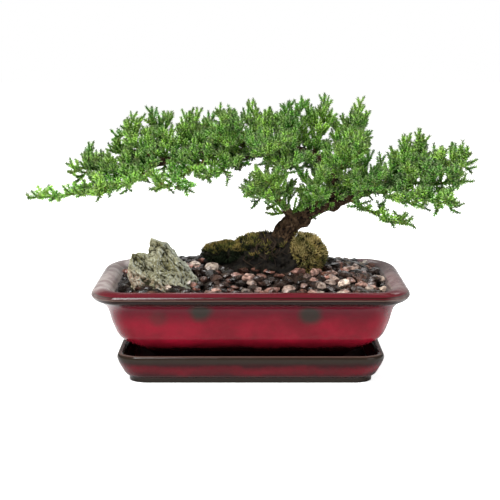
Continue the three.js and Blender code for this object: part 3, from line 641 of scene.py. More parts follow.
def edge_group():
    """A wavering level line, such as glaze that breaks along an edge, and also a painted highlight along one.
    """
    found = bpy.data.node_groups.get("level_line")
    if found:
        return found
    inputs = {"Level": "Float", "Width": "Float", "Waver": "Float"}
    tree, nodes, given, result = new_group("level_line", inputs, {"Mask": "Float"})
    place = nodes.place()
    waver = nodes.maths("SUBTRACT", nodes.noise(place, 0.11, 4, 0.6), 0.5)
    height = nodes.maths("ADD", nodes.height(), nodes.maths("MULTIPLY", waver, given["Waver"]))
    away = nodes.maths("ABSOLUTE", nodes.maths("SUBTRACT", height, given["Level"]))
    share = nodes.maths("DIVIDE", away, given["Width"])
    tree.links.new(nodes.spread(share, 1.0, 0.25), result["Mask"])
    return tree


def new_material(name):
    """A material with a plain shader, what adds its nodes, and the shader."""
    material = bpy.data.materials.new(name)
    material.use_nodes = True
    shader = material.node_tree.nodes["Principled BSDF"]
    return material, Nodes(material.node_tree), shader


def connect(nodes, shader, **sockets):
    """Links sockets to the shader's inputs, or sets values there."""
    for key, value in sockets.items():
        nodes.give(shader.inputs[key.replace("_", " ")], value)


def rgba(colour):
    return (*colour, 1)


def glaze_material(name, redness, edges, shades, blotches=()):
    """Crimson glaze that breaks along some `edges` and has a painted highlight along others, with painted
    shade that darkens it from one height to another.

    `edges` are level lines: their height, width, waver and colour. `shades` are two heights, the share
    of the waver and the colour at the second one. `blotches` are dark stains: their centre, radius and
    strength. The vertices' "mark" is 1 where the glaze is pale on the slope inside the rim, and where a
    painted reflection lies at the lip's corners; it is -1 where the glaze is dull.
    """
    colours = bpy.context.scene.bonsai_colours
    material, nodes, shader = new_material(name)
    red = rgba(redness * value for value in colours.glaze)
    shade = rgba(colours.glaze_dark_and_painted_shade)
    dull = tuple(0.55 * a + 0.45 * b for a, b in zip(red, shade))
    colour = nodes.mottle(red, dull, 0.03, 0.15)
    place = nodes.place()
    waver = nodes.maths("MULTIPLY", nodes.maths("SUBTRACT", nodes.noise(place, 0.05, 4, 0.6), 0.5), 9)
    for start, end, share, tint in shades:
        height = nodes.maths("ADD", nodes.height(), nodes.maths("MULTIPLY", waver, share))
        colour = nodes.blend(nodes.spread(height, start, end), colour, tint)
    for centre, radius, strength in blotches:
        away = nodes.add("VectorMath", {0: place, 1: centre}, operation="DISTANCE").outputs["Value"]
        away = nodes.maths("ADD", away, waver)
        colour = nodes.blend(nodes.spread(away, radius, 0.35 * radius, 0, strength), colour, STAIN)
    lines = 0.0
    for level, width, waver_size, tint in edges:
        line = nodes.group(edge_group(), {"Level": level, "Width": width, "Waver": waver_size})["Mask"]
        colour = nodes.blend(line, colour, tint)
        lines = nodes.maths("MAXIMUM", line, lines)
    # Patchiness of the pale slope and of the painted reflection at the lip's corners
    worn = nodes.spread(nodes.noise(place, 0.09, 5, 0.62), 0.38, 0.62, 0.55, 1)
    pale = nodes.blend(nodes.noise(place, 0.02, 2), *PALE_GLAZE_AND_REFLECTION)
    colour = nodes.blend(nodes.maths("MULTIPLY", nodes.value("mark"), worn), colour, pale)
    relief = nodes.relief(0.09, 0.3, 0.0005)
    rough = nodes.spread(relief["Height"], 0.5, 0.9, 0.11, 0.2)
    rough = nodes.maths("SUBTRACT", rough, nodes.maths("MINIMUM", nodes.value("mark"), 0.0), clamp=True)
    coat = nodes.maths("MULTIPLY", lines, 0.08)
    connect(nodes, shader, Base_Color=colour, Roughness=rough, Normal=relief["Normal"], Coat_Weight=coat)
    connect(nodes, shader, Specular_IOR_Level=0.13, Coat_Roughness=0.12)
    return material


def stone_material(name, light, dark, scale, speckle, roughness, relief_scale, depth, tint=None):
    """A mottled stone or earth; `tint` takes the nodes and the colour and gives back the colour."""
    material, nodes, shader = new_material(name)
    colour = nodes.mottle(rgba(light), rgba(dark), scale, speckle)
    if tint:
        colour = tint(nodes, colour)
    relief = nodes.relief(relief_scale, 0.7, depth)
    connect(nodes, shader, Base_Color=colour, Roughness=roughness, Normal=relief["Normal"])
    connect(nodes, shader, Specular_IOR_Level=0.2)
    return material


def pebble_material():
    """Damp pebbles: each has its own colour, from black-brown through terracotta and grey to cream."""
    material, nodes, shader = new_material("damp_pebbles")
    colour = nodes.ramp(nodes.value("tone"), PEBBLE_TONES)
    mottle = nodes.mottle((1.7, 1.62, 1.55, 1), (0.26, 0.2, 0.18, 1), 0.3, 0.5)
    colour = nodes.blend(1.0, colour, mottle, "MULTIPLY")
    relief = nodes.relief(0.5, 0.6, 0.0006)
    rough = nodes.spread(relief["Height"], 0.45, 0.95, 0.1, 0.34)
    connect(nodes, shader, Base_Color=colour, Roughness=rough, Normal=relief["Normal"])
    connect(nodes, shader, Specular_IOR_Level=0.36)
    return material


def moss_material():
    """Moss that is dark at the root of its blades, partly as painted shade, and golden olive at their tips,
    with painted light and shade in each blade's tone.
    """
    colours = bpy.context.scene.bonsai_colours
    material, nodes, shader = new_material("cushion_moss")
    tip = nodes.value("mark")
    tone = nodes.value("tone")
    colour = nodes.mottle(rgba(colours.moss), (0.09, 0.1, 0.022, 1), 0.12, 0.35)
    colour = nodes.blend(nodes.spread(tone, 0.6, 1.0, 0, 0.8), colour, MOSS_LIT_GOLD)
    colour = nodes.blend(nodes.spread(tone, 0.35, 0.08), colour, MOSS_SHADE)
    colour = nodes.blend(nodes.spread(tip, 0.05, 0.75), MOSS_ROOT_SHADE, colour)
    connect(nodes, shader, Base_Color=colour, Roughness=0.8, Specular_IOR_Level=0.1)
    return material


def bark_material():
    """Flaky bark, with painted shade that turns its cracks black."""
    colours = bpy.context.scene.bonsai_colours
    material, nodes, shader = new_material("flaky_bark")
    colour = nodes.mottle(rgba(colours.bark), (0.018, 0.009, 0.004, 1), 0.22, 0.5)
    flake = nodes.value("mark")
    colour = nodes.blend(nodes.spread(flake, 0.6, 1.0), colour, BARK_FLAKE)
    colour = nodes.blend(nodes.spread(flake, 0.5, 0.1), colour, BARK_CRACK_SHADE)
    normal = nodes.relief(0.9, 0.6, 0.0005)["Normal"]
    connect(nodes, shader, Base_Color=colour, Roughness=0.9, Normal=normal, Specular_IOR_Level=0.15)
    return material


def needle_material():
    """Needles, darker inside the tree partly as painted shade, with painted shade at their bases and painted
    highlights at their tips, grey at the shoots' ends, on twigs from green to brown.
    """
    colours = bpy.context.scene.bonsai_colours
    material, nodes, shader = new_material("juniper_needles")
    tip = nodes.value("mark")
    tone = nodes.value("tone")
    colour = nodes.blend(tone, rgba(colours.old_and_shaded_needle), rgba(colours.young_and_lit_needle))
    mottle = nodes.mottle((1.15, 1.08, 1, 1), (0.4, 0.64, 0.52, 1), 0.05, 0.25)
    colour = nodes.blend(1.0, colour, mottle, "MULTIPLY")
    colour = nodes.blend(nodes.spread(tip, 0.6, 0.0, 0.0, 0.85), colour, NEEDLE_BASE_SHADE)
    colour = nodes.blend(nodes.spread(tip, 0.55, 1.0, 0.0, 0.85), colour, NEEDLE_TIP_HIGHLIGHT)
    colour = nodes.blend(nodes.value("end"), colour, SHOOT_END)
    bark = nodes.blend(nodes.noise(nodes.place(), 0.4), *TWIG_BARK)
    colour = nodes.blend(nodes.value("wood"), colour, bark)
    connect(nodes, shader, Base_Color=colour, Roughness=0.55, Specular_IOR_Level=0.1)
    return material


# Pot and tray


def add_outline(bm, half, inset, z, corner):
    """The edges of a rectangle with rounded corners."""
    half_x, half_y, stretch = half
    made = bmesh.ops.create_grid(bm, x_segments=1, y_segments=1, size=1)
    verts = made["verts"]
    bmesh.ops.scale(bm, vec=(half_x - inset, (half_y - inset) / stretch, 1), verts=verts)
    bmesh.ops.translate(bm, vec=(0, 0, z), verts=verts)
    made = bmesh.ops.bevel(
        bm, geom=verts, offset=corner, offset_type="OFFSET", segments=CORNER_SEGMENTS, profile=0.5,
        affect="VERTICES", material=-1,
    )
    bmesh.ops.scale(bm, vec=(1, stretch, 1), verts=made["verts"])
    faces = {face for vert in made["verts"] for face in vert.link_faces}
    bmesh.ops.delete(bm, geom=list(faces), context="FACES_ONLY")
    return edges_of(made["verts"])


def add_walls(bm, half, stations):
    """A wall through rounded rectangles, closed at both ends."""
    profile = Path(stations)
    steps = RINGS_PER_STATION * (len(stations) - 1)
    skin_rings(bm, [add_outline(bm, half, *profile.at(k / steps)) for k in range(steps + 1)])
    bmesh.ops.recalc_face_normals(bm, faces=bm.faces)


def add_bar(bm, x, y, bottom, top, bottom_radius, top_radius):
    bmesh.ops.create_cone(
        bm, cap_ends=True, segments=BAR_SIDES, radius1=bottom_radius, radius2=top_radius, depth=top - bottom,
        matrix=Matrix.Translation((x, y, (bottom + top) / 2)),
    )


def combined(bm, other, operation):
    """The outcome of cutting a mesh with another, or of joining them."""
    scratch = [placed("scratch", mesh_of(part, "scratch")) for part in (bm, other)]
    modifier = scratch[0].modifiers.new("cut", "BOOLEAN")
    modifier.object = scratch[1]
    modifier.operation = operation
    modifier.solver = "EXACT"
    result = evaluated(scratch[0])
    for item in scratch:
        discard(item)
    return result


def sharpened(piece, angle=40):
    """Keeps a piece's edges crisp where it turns by more than an angle."""
    piece.data.set_sharp_from_angle(angle=math.radians(angle))
    return piece


class BONSAI_OT_add_tray(bpy.types.Operator):
    """Model the drip tray and give it its glaze"""

    bl_idname = "bonsai.add_tray"
    bl_label = "Drip tray"

    def execute(self, context):
        bm = bmesh.new()
        add_walls(bm, TRAY, TRAY_OUTSIDE + TRAY_INSIDE)
        worn = rgba(context.scene.bonsai_colours.glaze_break)
        shade = rgba(context.scene.bonsai_colours.glaze_dark_and_painted_shade)
        # The pale line along the tray's top edge is a painted highlight.
        edges = [(17.6, 4.6, 2.2, worn), (1.2, 4.6, 2.2, worn), (20, 0.7, 0, PALE_EDGE_AND_HIGHLIGHT)]
        # Darker below 9 mm and above 10 mm, the outer wall included; on the floor and the inner walls beside
        # the pot this is painted shade.
        glaze = glaze_material("tray_glaze", 0.5, edges, [(9, 4, 1, shade), (10, 15, 1, shade)])
        piece = sharpened(finish_piece(bm, "glazed_tray", glaze, ["drip_tray"]))
        half_x, half_y, bottom = DULL_INSIDE
        inside = [
            abs(vert.co.x) < half_x and abs(vert.co.y) < half_y and vert.co.z > bottom
            for vert in piece.data.vertices
        ]
        set_values(piece, "mark", [-1.0 if deep else 0.0 for deep in inside])
        return {"FINISHED"}


def pale_and_reflection_mark(vert):
    """1 on the rim's top and inner slope at the left, less at the right, and as a painted reflection at the
    lip's corners.
    """
    x, y, z = vert.co / MM
    sideways = unit((abs(x) - 88) / 6) * unit((y + 70) / 14)
    slope = sideways * unit(3 * vert.normal.z - 0.6) if z > 60 else 0.0
    # Painted reflection on the lip's ridge at both front corners
    corner = unit((abs(x) - 91) / 12) * max(0.0, 1 - abs(z - 62) / 2.2)
    return max((1 if x < 0 else 0.45) * slope, 0.6 * corner)


class BONSAI_OT_add_pot(bpy.types.Operator):
    """Model the pot with its feet and drain holes and give it its glaze"""

    bl_idname = "bonsai.add_pot"
    bl_label = "Pot"

    def execute(self, context):
        bm = bmesh.new()
        add_walls(bm, RIM, POT_OUTSIDE + POT_INSIDE)
        feet = bmesh.new()
        drains = bmesh.new()
        for side in (-1, 1):
            for front in (-1, 1):
                add_bar(feet, side * FEET_AT[0], front * FEET_AT[1], *FOOT)
            add_bar(drains, side * DRAINS_AT, 0, *DRAIN)
        bm = combined(combined(bm, feet, "UNION"), drains, "DIFFERENCE")
        shade = rgba(context.scene.bonsai_colours.glaze_dark_and_painted_shade)
        # The pale line on the lip's ridge is partly glaze thin on the edge, partly a painted highlight.
        edges = [(63.2, 0.7, 0.3, DARK_EDGE), (61.5, 0.45, 0.3, PALE_EDGE_AND_HIGHLIGHT)]
        # Painted shade: darker towards the rounded underside below 31 mm, on the upper wall up to the lip, and
        # near black in the cove under the lip. The lip's top keeps its own darker crimson.
        shades = [
            (31, 20, 1, shade),
            (41, 56, 1, UPPER_WALL_SHADE),
            (55.5, 58.5, 0.15, UNDER_LIP_SHADE),
            (61.8, 63.0, 0, LIP_TOP),
        ]
        blotches = [((-34, -73, 53), 11, 0.85), ((41, -72, 50), 11, 0.85), ((-62, -70, 47), 9, 0.35)]
        glaze = glaze_material("pot_glaze", 1.0, edges, shades, blotches)
        piece = sharpened(finish_piece(bm, "glazed_pot", glaze, ["pot"]))
        set_values(piece, "mark", [pale_and_reflection_mark(vert) for vert in piece.data.vertices])
        return {"FINISHED"}


# Soil and gravel


class BONSAI_OT_finish_soil(bpy.types.Operator):
    """Give the potting soil its finish"""

    bl_idname = "bonsai.finish_soil"
    bl_label = "Potting soil"

    def execute(self, context):
        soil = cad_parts["potting_soil"]
        soil.data.materials.clear()
        finish = stone_material(
            "damp_soil", (0.05, 0.032, 0.02), (0.012, 0.008, 0.006), scale=0.3, speckle=0.6, roughness=0.95,
            relief_scale=0.8, depth=0.001,
        )
        soil.data.materials.append(finish)
        return {"FINISHED"}


def gravel_level(x, y):
    across = max(0, 1 - (x / GRAVEL["half_x"]) ** 2)
    deep = max(0, 1 - ((y - GRAVEL["middle_y"]) / GRAVEL["half_y"]) ** 2)
    return GRAVEL["edge"] + GRAVEL["rise"] * across * deep


def pebble_shade_power(x, y):
    """The power that darkens the pebbles' tones as painted shade: most at the left end, less at the back and
    at the left.
    """
    if x < -72:
        return 4.5
    return 2.4 if y > 0 or x < -45 or x < -15 and y > -35 else 1.05


def pebble_stamps():
    """Pebbles of a few shapes, each with some of its sides worn flat."""
    stamps = []
    for seed in range(14):
        bm = bmesh.new()
        bmesh.ops.create_icosphere(bm, subdivisions=2, radius=0.5)
        flats = [(drawn_vector(seed, k, 0).normalized(), 0.27 + 0.13 * draw(seed, k, 4)) for k in range(7)]
        for vert in bm.verts:
            vert.co *= 1 + 0.2 * noise.noise(vert.co * 3 + Vector((seed * 7.1, 0, 0)))
            for way, level in flats:
                vert.co -= way * max(0, vert.co.dot(way) - level)
        stamps.append(Stamp(bm))
    return stamps


def outside_lump(place, lump, room):
    """Whether a place is outside a lump by more than a share of its size."""
    centre, half = lump[:2]
    return sum(((p - c) / h) ** 2 for p, c, h in zip(place, centre, half)) > (1 + room) ** 2


def inside_wall(x, y, room):
    """Whether a pebble of a size is clear of the wall at the gravel's edge."""
    half_x, half_y, stretch = RIM
    inset, corner = GRAVEL_WALL
    over_x = max(0, abs(x) + room - (half_x - inset - corner))
    over_y = max(0, abs(y) + room - (half_y - inset - corner * stretch)) / stretch
    return math.hypot(over_x, over_y) < corner


def gravel_bed():
    """A sheet of grit that fills the wall's outline under the pebbles, down to the soil."""
    half_x, half_y, stretch = RIM
    inset, corner = GRAVEL_WALL
    bm = bmesh.new()
    bmesh.ops.create_grid(bm, x_segments=30, y_segments=22, size=1)
    for vert in bm.verts:
        x = vert.co.x * (half_x - inset - 0.6)
        into = min(1, max(0, abs(x) - (half_x - inset - corner)) / corner)
        deep = half_y - inset - 0.6 - corner * stretch * (1 - math.sqrt(1 - into**2))
        vert.co = (x, vert.co.y * deep, gravel_level(x, vert.co.y * deep) - 3.4)
    made = bmesh.ops.extrude_face_region(bm, geom=bm.faces[:], use_keep_orig=True)
    for vert in made["geom"]:
        if isinstance(vert, bmesh.types.BMVert):
            vert.co.z = SOIL_TOP + 0.05
    return bm


class BONSAI_OT_add_gravel(bpy.types.Operator):
    """Model the top dressing, pebble by pebble, on a bed of grit"""

    bl_idname = "bonsai.add_gravel"
    bl_label = "Gravel"

    def execute(self, context):
        pebble = context.scene.bonsai_sizes.pebble_length / MM
        patch = Patch()
        # The bed's near-black tone is painted shade in the gaps between the pebbles.
        patch.add(Stamp(gravel_bed()), Matrix.Identity(4), 0.02)
        stamps = pebble_stamps()
        count = 0
        for layer, (pitch, sink, brightness) in enumerate(PEBBLE_LAYERS):
            step = pebble * pitch
            rows = int(RIM[1] / (step * 0.8))
            columns = int(RIM[0] / step)
            for r in range(-rows, rows + 1):
                for q in range(-columns, columns + 1):
                    count += 1
                    dice = [draw(count, layer, k) for k in range(9)]
                    x = step * (q + 0.5 * (r % 2) + 0.55 * (dice[0] - 0.5))
                    y = step * 0.8 * (r + 0.55 * (dice[1] - 0.5))
                    size = pebble * (0.62 + 0.62 * dice[2] ** 1.4)
                    place = Vector((x, y, gravel_level(x, y) - sink + 1.6 * dice[3]))
                    if not inside_wall(x, y, 0.36 * size) or not outside_lump(place, ROOT_BALL, -0.06):
                        continue
                    tip = Matrix.Rotation(0.5 * (dice[4] - 0.5), 4, "X")
                    roll = Matrix.Rotation(0.5 * (dice[5] - 0.5), 4, "Y")
                    turn = Matrix.Rotation(2 * math.pi * dice[6], 4, "Z")
                    width, height = size * (0.62 + 0.25 * dice[7]), size * (0.46 + 0.2 * dice[8])
                    scale = Matrix.Diagonal((size, width, height, 1))
                    # Painted shade: darker tones at the left end, at the back and on the sunken lower layer.
                    tone = draw(count, 5, layer) ** pebble_shade_power(x, y) * brightness
                    matrix = Matrix.Translation(place) @ (tip @ roll) @ turn @ scale
                    patch.add(stamps[count % len(stamps)], matrix, tone)
        piece = finish_piece(patch.bm, "loose_pebbles", pebble_material(), ["gravel"])
        sharpened(piece, 32)
        set_values(piece, "tone", patch.tones)
        return {"FINISHED"}


# Rock


def add_block(bm, centre, faces):
    """A block with a slice cut off along each of its faces."""
    block = bmesh.new()
    bmesh.ops.create_cube(block, size=90)
    for x, y, z, distance in faces:
        way = Vector((x, y, z)).normalized()
        slice_off(block, way * distance, way)
    bmesh.ops.translate(block, vec=centre, verts=block.verts)
    pour_into(bm, block)


class BONSAI_OT_add_rock(bpy.types.Operator):
    """Model the craggy rock"""

    bl_idname = "bonsai.add_rock"
    bl_label = "Rock"

    def execute(self, context):
        blocks = bmesh.new()
        for centre, faces in ROCK:
            add_block(blocks, centre, faces)
        bmesh.ops.recalc_face_normals(blocks, faces=blocks.faces)
        bm = remeshed(blocks, 0.5)
        hollows = []
        moved = []
        for vert in bm.verts:
            place = vert.co
            along = Vector((place.x * 0.7 + place.z * 0.7, place.y, (place.z - place.x) * 0.28))
            broad = noise.fractal(place / 8 + Vector((3, 0, 0)), 1.0, 2.0, 3)
            strata = noise.fractal(along / 2.4, 0.9, 2.1, 4)
            grain = noise.fractal(place / 1.5, 0.8, 2.1, 3)
            pit = max(0.0, noise.noise(place / 1.5 + Vector((0, 9, 0))) - 0.22)
            seam = max(0.0, 1 - abs(noise.noise(along / 4.5)) / 0.07)
            rise = 1.1 * broad + 0.7 * strata + 0.55 * grain - pit - 0.7 * seam
            moved.append(place + vert.normal * max(-3.0, rise))
            # The mark: high on ridges, low in pits, seams and darker strata; the material paints shade where
            # it is low.
            hollows.append(0.62 + 0.22 * broad + 0.26 * strata + 0.24 * grain - 0.6 * pit - 0.3 * seam)
        move_verts(bm, moved)
        bm.normal_update()
        slice_off(bm, (0, 0, SOIL_TOP), (0, 0, -1))
        layer = bm.verts.layers.float.new("mark")
        tree = search_tree(moved)
        for vert in bm.verts:
            vert[layer] = hollows[tree.find(vert.co)[1]]

        def tint(nodes, colour):
            mark = nodes.value("mark")
            place = nodes.place()
            side = nodes.add("SeparateXYZ", {"Vector": nodes.add("TexCoord").outputs["Normal"]}).outputs["X"]
            across = nodes.add("SeparateXYZ", {"Vector": place}).outputs["X"]
            low = nodes.maths("ADD", nodes.height(), nodes.maths("MULTIPLY", across, 0.35))
            patches = nodes.spread(nodes.noise(place, 0.1), 0.35, 0.6)
            warm = nodes.maths("MULTIPLY", nodes.spread(low, 50, 42), patches)
            colour = nodes.blend(nodes.maths("MULTIPLY", warm, 0.75), colour, ROCK_FOOT)
            colour = nodes.blend(nodes.spread(side, 0.1, 0.55, 0, 0.8), colour, ROCK_SIDE)
            colour = nodes.blend(nodes.spread(mark, 0.66, 1.0, 0.0, 0.7), colour, ROCK_RIDGE)
            # Painted shade in the crevices, pits and seams
            return nodes.blend(nodes.spread(mark, 0.66, 0.3), colour, ROCK_CREVICE_SHADE)

        rock = tuple(context.scene.bonsai_colours.rock)
        finish = stone_material(
            "weathered_rock", rock, (0.16, 0.15, 0.07), scale=0.11, speckle=0.5, roughness=0.9,
            relief_scale=0.9, depth=0.0014, tint=tint,
        )
        finish_piece(bm, "craggy_rock", finish, ["rock"], smooth=False)
        return {"FINISHED"}


# Root ball and moss


def ellipsoid_reach(way, half):
    """How far it is from an ellipsoid's centre to its surface."""
    return 1 / math.sqrt(sum((w / h) ** 2 for w, h in zip(way, half)))


def lump_mesh(lump, detail, sunk, coarse, fine):
    """A lumpy ellipsoid, as in the solids but `sunk` a little, with coarse and fine bumps of some height."""
    centre, half, roughness, size, seed = lump
    bm = bmesh.new()
    bmesh.ops.create_icosphere(bm, subdivisions=detail, radius=1)
    for vert in bm.verts:
        way = vert.co.normalized()
        plain = ellipsoid_reach(way, half)
        place = way * plain
        bump = roughness * bumps(place, size, seed)
        bump += coarse * noise.fractal(place / 6, 0.9, 2.1, 2) + fine * noise.fractal(place / 2, 0.9, 2.1, 3)
        vert.co = Vector(centre) + way * (plain - sunk + bump)
    return bm


TRUNK_PATH = Path(TRUNK[0])


def trunk_cleared(place, room):
    """Whether a place is further than `room` from the trunk's centre line."""
    return min((place - p).length for p in TRUNK_PATH.places) > room


class BONSAI_OT_add_roots(bpy.types.Operator):
    """Model the root ball with its fibrous roots"""

    bl_idname = "bonsai.add_roots"
    bl_label = "Root ball"

    def execute(self, context):
        bm = lump_mesh(ROOT_BALL, 6, 0.8, 3.4, 2.2)
        slice_off(bm, (0, 0, SOIL_TOP), (0, 0, -1))
        body = len(bm.verts)
        centre, half = Vector(ROOT_BALL[0]), ROOT_BALL[1]
        for k in range(90):
            angle = 2 * math.pi * (k * 0.618 % 1)
            swing = 1.4 * (draw(k, 1, 1) - 0.5)
            points = []
            for step in range(6):
                share = step / 5
                low = math.radians(80 - (20 + 50 * draw(k, 6, 6)) * share)
                turn = angle + swing * share + 0.6 * (draw(k, step, 2) - 0.5)
                way = Vector((math.cos(turn) * math.cos(low), math.sin(turn) * math.cos(low), math.sin(low)))
                plain = ellipsoid_reach(way, half)
                points.append(centre + way * (plain - 0.2 + 2.2 * (draw(k, step, 3) - 0.5)))
            thick = 0.3 + 0.9 * draw(k, 4, 4) ** 3
            add_tube(bm, Path(points), [thick, thick * 0.75, thick * 0.3], 6, 14)
        values = [0.0] * body + [1.0] * (len(bm.verts) - body)

        def tint(nodes, colour):
            return nodes.blend(nodes.maths("MULTIPLY", nodes.value("mark"), 0.7), colour, ROOT)

        # Near-black earth: partly the damp earth's own colour, partly painted shade.
        finish = stone_material(
            "root_fibre", (0.013, 0.010, 0.006), (0.003, 0.0022, 0.0015), scale=0.2, speckle=0.6,
            roughness=0.95, relief_scale=0.7, depth=0.001, tint=tint,
        )
        piece = finish_piece(bm, "rooted_earth", finish, ["root_ball"])
        set_values(piece, "mark", values)
        return {"FINISHED"}


def blade_stamp(seed):
    """A small tuft of moss blades."""
    bm = bmesh.new()
    for k in range(5):
        lean = 0.3 + 0.4 * draw(seed, k, 1)
        matrix = (
            Matrix.Rotation(2 * math.pi * (k / 5 + 0.1 * draw(seed, k, 2)), 4, "Z")
            @ Matrix.Rotation(lean, 4, "X")
            @ Matrix.Translation((0, 0, 0.5))
        )
        bmesh.ops.create_cone(bm, cap_ends=True, segments=3, radius1=0.2, radius2=0, depth=1.1, matrix=matrix)
    return Stamp(bm, mark=lambda place: unit(place.z))


class BONSAI_OT_add_moss(bpy.types.Operator):
    """Model the two cushions of moss and the sparse moss on the root ball, blade by blade"""

    bl_idname = "bonsai.add_moss"
    bl_label = "Moss"

    def execute(self, context):
        height = context.scene.bonsai_sizes.moss_height / MM
        tufts = [blade_stamp(seed) for seed in range(6)]
        material = moss_material()
        # Each cushion: its name, CAD nodes, lump, tufts, brightness, and how much darker the blades on spots
        # facing sideways or down are painted, as painted shade. The left cushion's low brightness is partly
        # painted shade too.
        for name, nodes, lump, count, brightness, shade in (
            ("cushion_left", ["moss_left"], MOSS_LEFT, 2000, 0.6, 1.0),
            ("cushion_right", ["moss_right"], MOSS_RIGHT, 1700, 1.9, 0.35),
            ("sparse_moss", [], ROOT_BALL, 3000, 0.95, 0.97),
        ):
            patch = Patch()
            base = lump_mesh(lump, 4 if nodes else 5, 1.7 if nodes else 0.6, 2.4, 0.0 if nodes else 1.2)
            base.normal_update()
            spots = [(face.calc_center_median(), face.normal.copy()) for face in base.faces]
            if nodes:
                # The cushion's body under the tufts takes the dark root colour: partly painted shade.
                patch.add(Stamp(base), Matrix.Identity(4), 0.1)
            for k in range(count):
                place, way = spots[int(draw(k, lump[4], 1) * len(spots))]
                if place.z < 62 or not trunk_cleared(place, 10.5):
                    continue
                thick = 3 * noise.noise(place / 7) + (place.z - 83) / 5 - max(0, place.x - 8) / 9
                if not nodes and thick < 0:
                    continue
                lean = (way + 0.35 * UP + 0.5 * drawn_vector(k, lump[4], 2)).normalized()
                size = height * (0.6 + 0.8 * draw(k, lump[4], 5))
                # Painted shade: blades on spots that face sideways or down get a darker tone.
                lit = 1 - shade * (1 - unit(1.6 * way.z - 0.5))
                tone = min(1.0, brightness * (0.05 + 0.95 * draw(k, lump[4], 6)) * lit)
                matrix = standing(place - way * 0.3, lean, 6.3 * draw(k, 7, 7), (size, size, size))
                patch.add(tufts[k % len(tufts)], matrix, tone)
            piece = finish_piece(patch.bm, name, material, nodes, smooth=False)
            set_values(piece, "mark", patch.marks)
            set_values(piece, "tone", patch.tones)
        return {"FINISHED"}


# Wood


def limb_tree(limbs):
    """Finds the frame of the limb nearest to a place, and how far along it that is."""
    frames = []
    for number, (line, radii) in enumerate(limbs):
        path = Path(line)
        steps = max(2, round(path.length))
        for k, matrix in enumerate(path.frames(steps)):
            frames.append((matrix, k * path.length / steps, mix(radii, k / steps), number))
    return search_tree([matrix.to_translation() for matrix, *_ in frames]), frames


class BONSAI_OT_add_wood(bpy.types.Operator):
    """Model the trunk and limbs with their flaking bark"""

    bl_idname = "bonsai.add_wood"
    bl_label = "Trunk and limbs"

    def execute(self, context):
        depth = context.scene.bonsai_sizes.bark_depth / MM
        limbs = [TRUNK, RIGHT_LIMB, CROWN_LIMB, LOW_LIMB]
        rough = bmesh.new()
        for line, radii in limbs:
            path = Path(line)
            add_tube(rough, path, [radius + 0.25 for radius in radii], 20, round(path.length / 2))
        for x, y, z, radius in KNOBS:
            matrix = Matrix.Translation((x, y, z))
            bmesh.ops.create_icosphere(rough, subdivisions=4, radius=radius + 0.3, matrix=matrix)
        bmesh.ops.recalc_face_normals(rough, faces=rough.faces)
        bm = remeshed(rough, 0.7)
        for _ in range(4):
            bmesh.ops.smooth_vert(
                bm, verts=bm.verts, factor=0.5, use_axis_x=True, use_axis_y=True, use_axis_z=True
            )
        bm.normal_update()
        tree, frames = limb_tree(limbs)
        flakes = []
        moved = []
        for vert in bm.verts:
            matrix, along, radius, number = frames[tree.find(vert.co)[1]]
            local = matrix.inverted() @ vert.co
            angle = math.atan2(local.y, local.x)
            height = (along + local.z) * 0.32 + 50 * number
            place = Vector((math.cos(angle) * radius * 0.9, math.sin(angle) * radius * 0.9, height))
            warp = noise.noise(place * 0.35) * 1.6
            strip = noise.noise(Vector((place.x + warp, place.y - warp, place.z)) * 0.62)
            crack = 1 - min(1.0, abs(strip) / 0.16)
            fine = noise.fractal(place * 1.5, 0.8, 2.1, 3)
            lumps = noise.noise(vert.co / 9) * 0.8 * min(1.0, radius / 8)
            share = min(1.0, radius / 7)
            rise = depth * share * (0.55 * fine - 1.1 * crack) + lumps
            moved.append(vert.co + vert.normal * rise)
            # The mark: higher on the flakes, low in the cracks for their painted shade
            flakes.append(0.62 + 0.3 * fine - 0.62 * crack)
        move_verts(bm, moved)
        piece = finish_piece(bm, "barked_wood", bark_material(), ["trunk_and_limbs"])
        set_values(piece, "mark", flakes)
        return {"FINISHED"}


# Foliage


def bent_line(start, way, length, rise):
    """A line that sets off from a point and bends upwards."""
    middle = start + way * length * 0.5 + UP * rise * length * 0.1
    return [start, middle, start + way * length + UP * rise * length * 0.35]


def branch_way(tangent, turn, spread, lift):
    """The way a branch sets off: at `spread` from its parent, turned by `turn` about it, then lifted."""
    level = tangent.cross(UP)
    if level.length < 0.3:
        level = Vector((1, 0, 0))
    level.normalize()
    other = level.cross(tangent)
    way = tangent * math.cos(spread) + (level * math.cos(turn) + other * math.sin(turn)) * math.sin(spread)
    return (way + UP * lift).normalized()


class Axis:
    """A stem, twig or shoot of a spray."""

    def __init__(self, spray, line, radii, needles_from, level):
        self.spray = spray
        self.path = Path(line)
        self.line = [Vector(p) for p in line]
        self.radii = radii
        self.needles_from = needles_from
        self.level = level


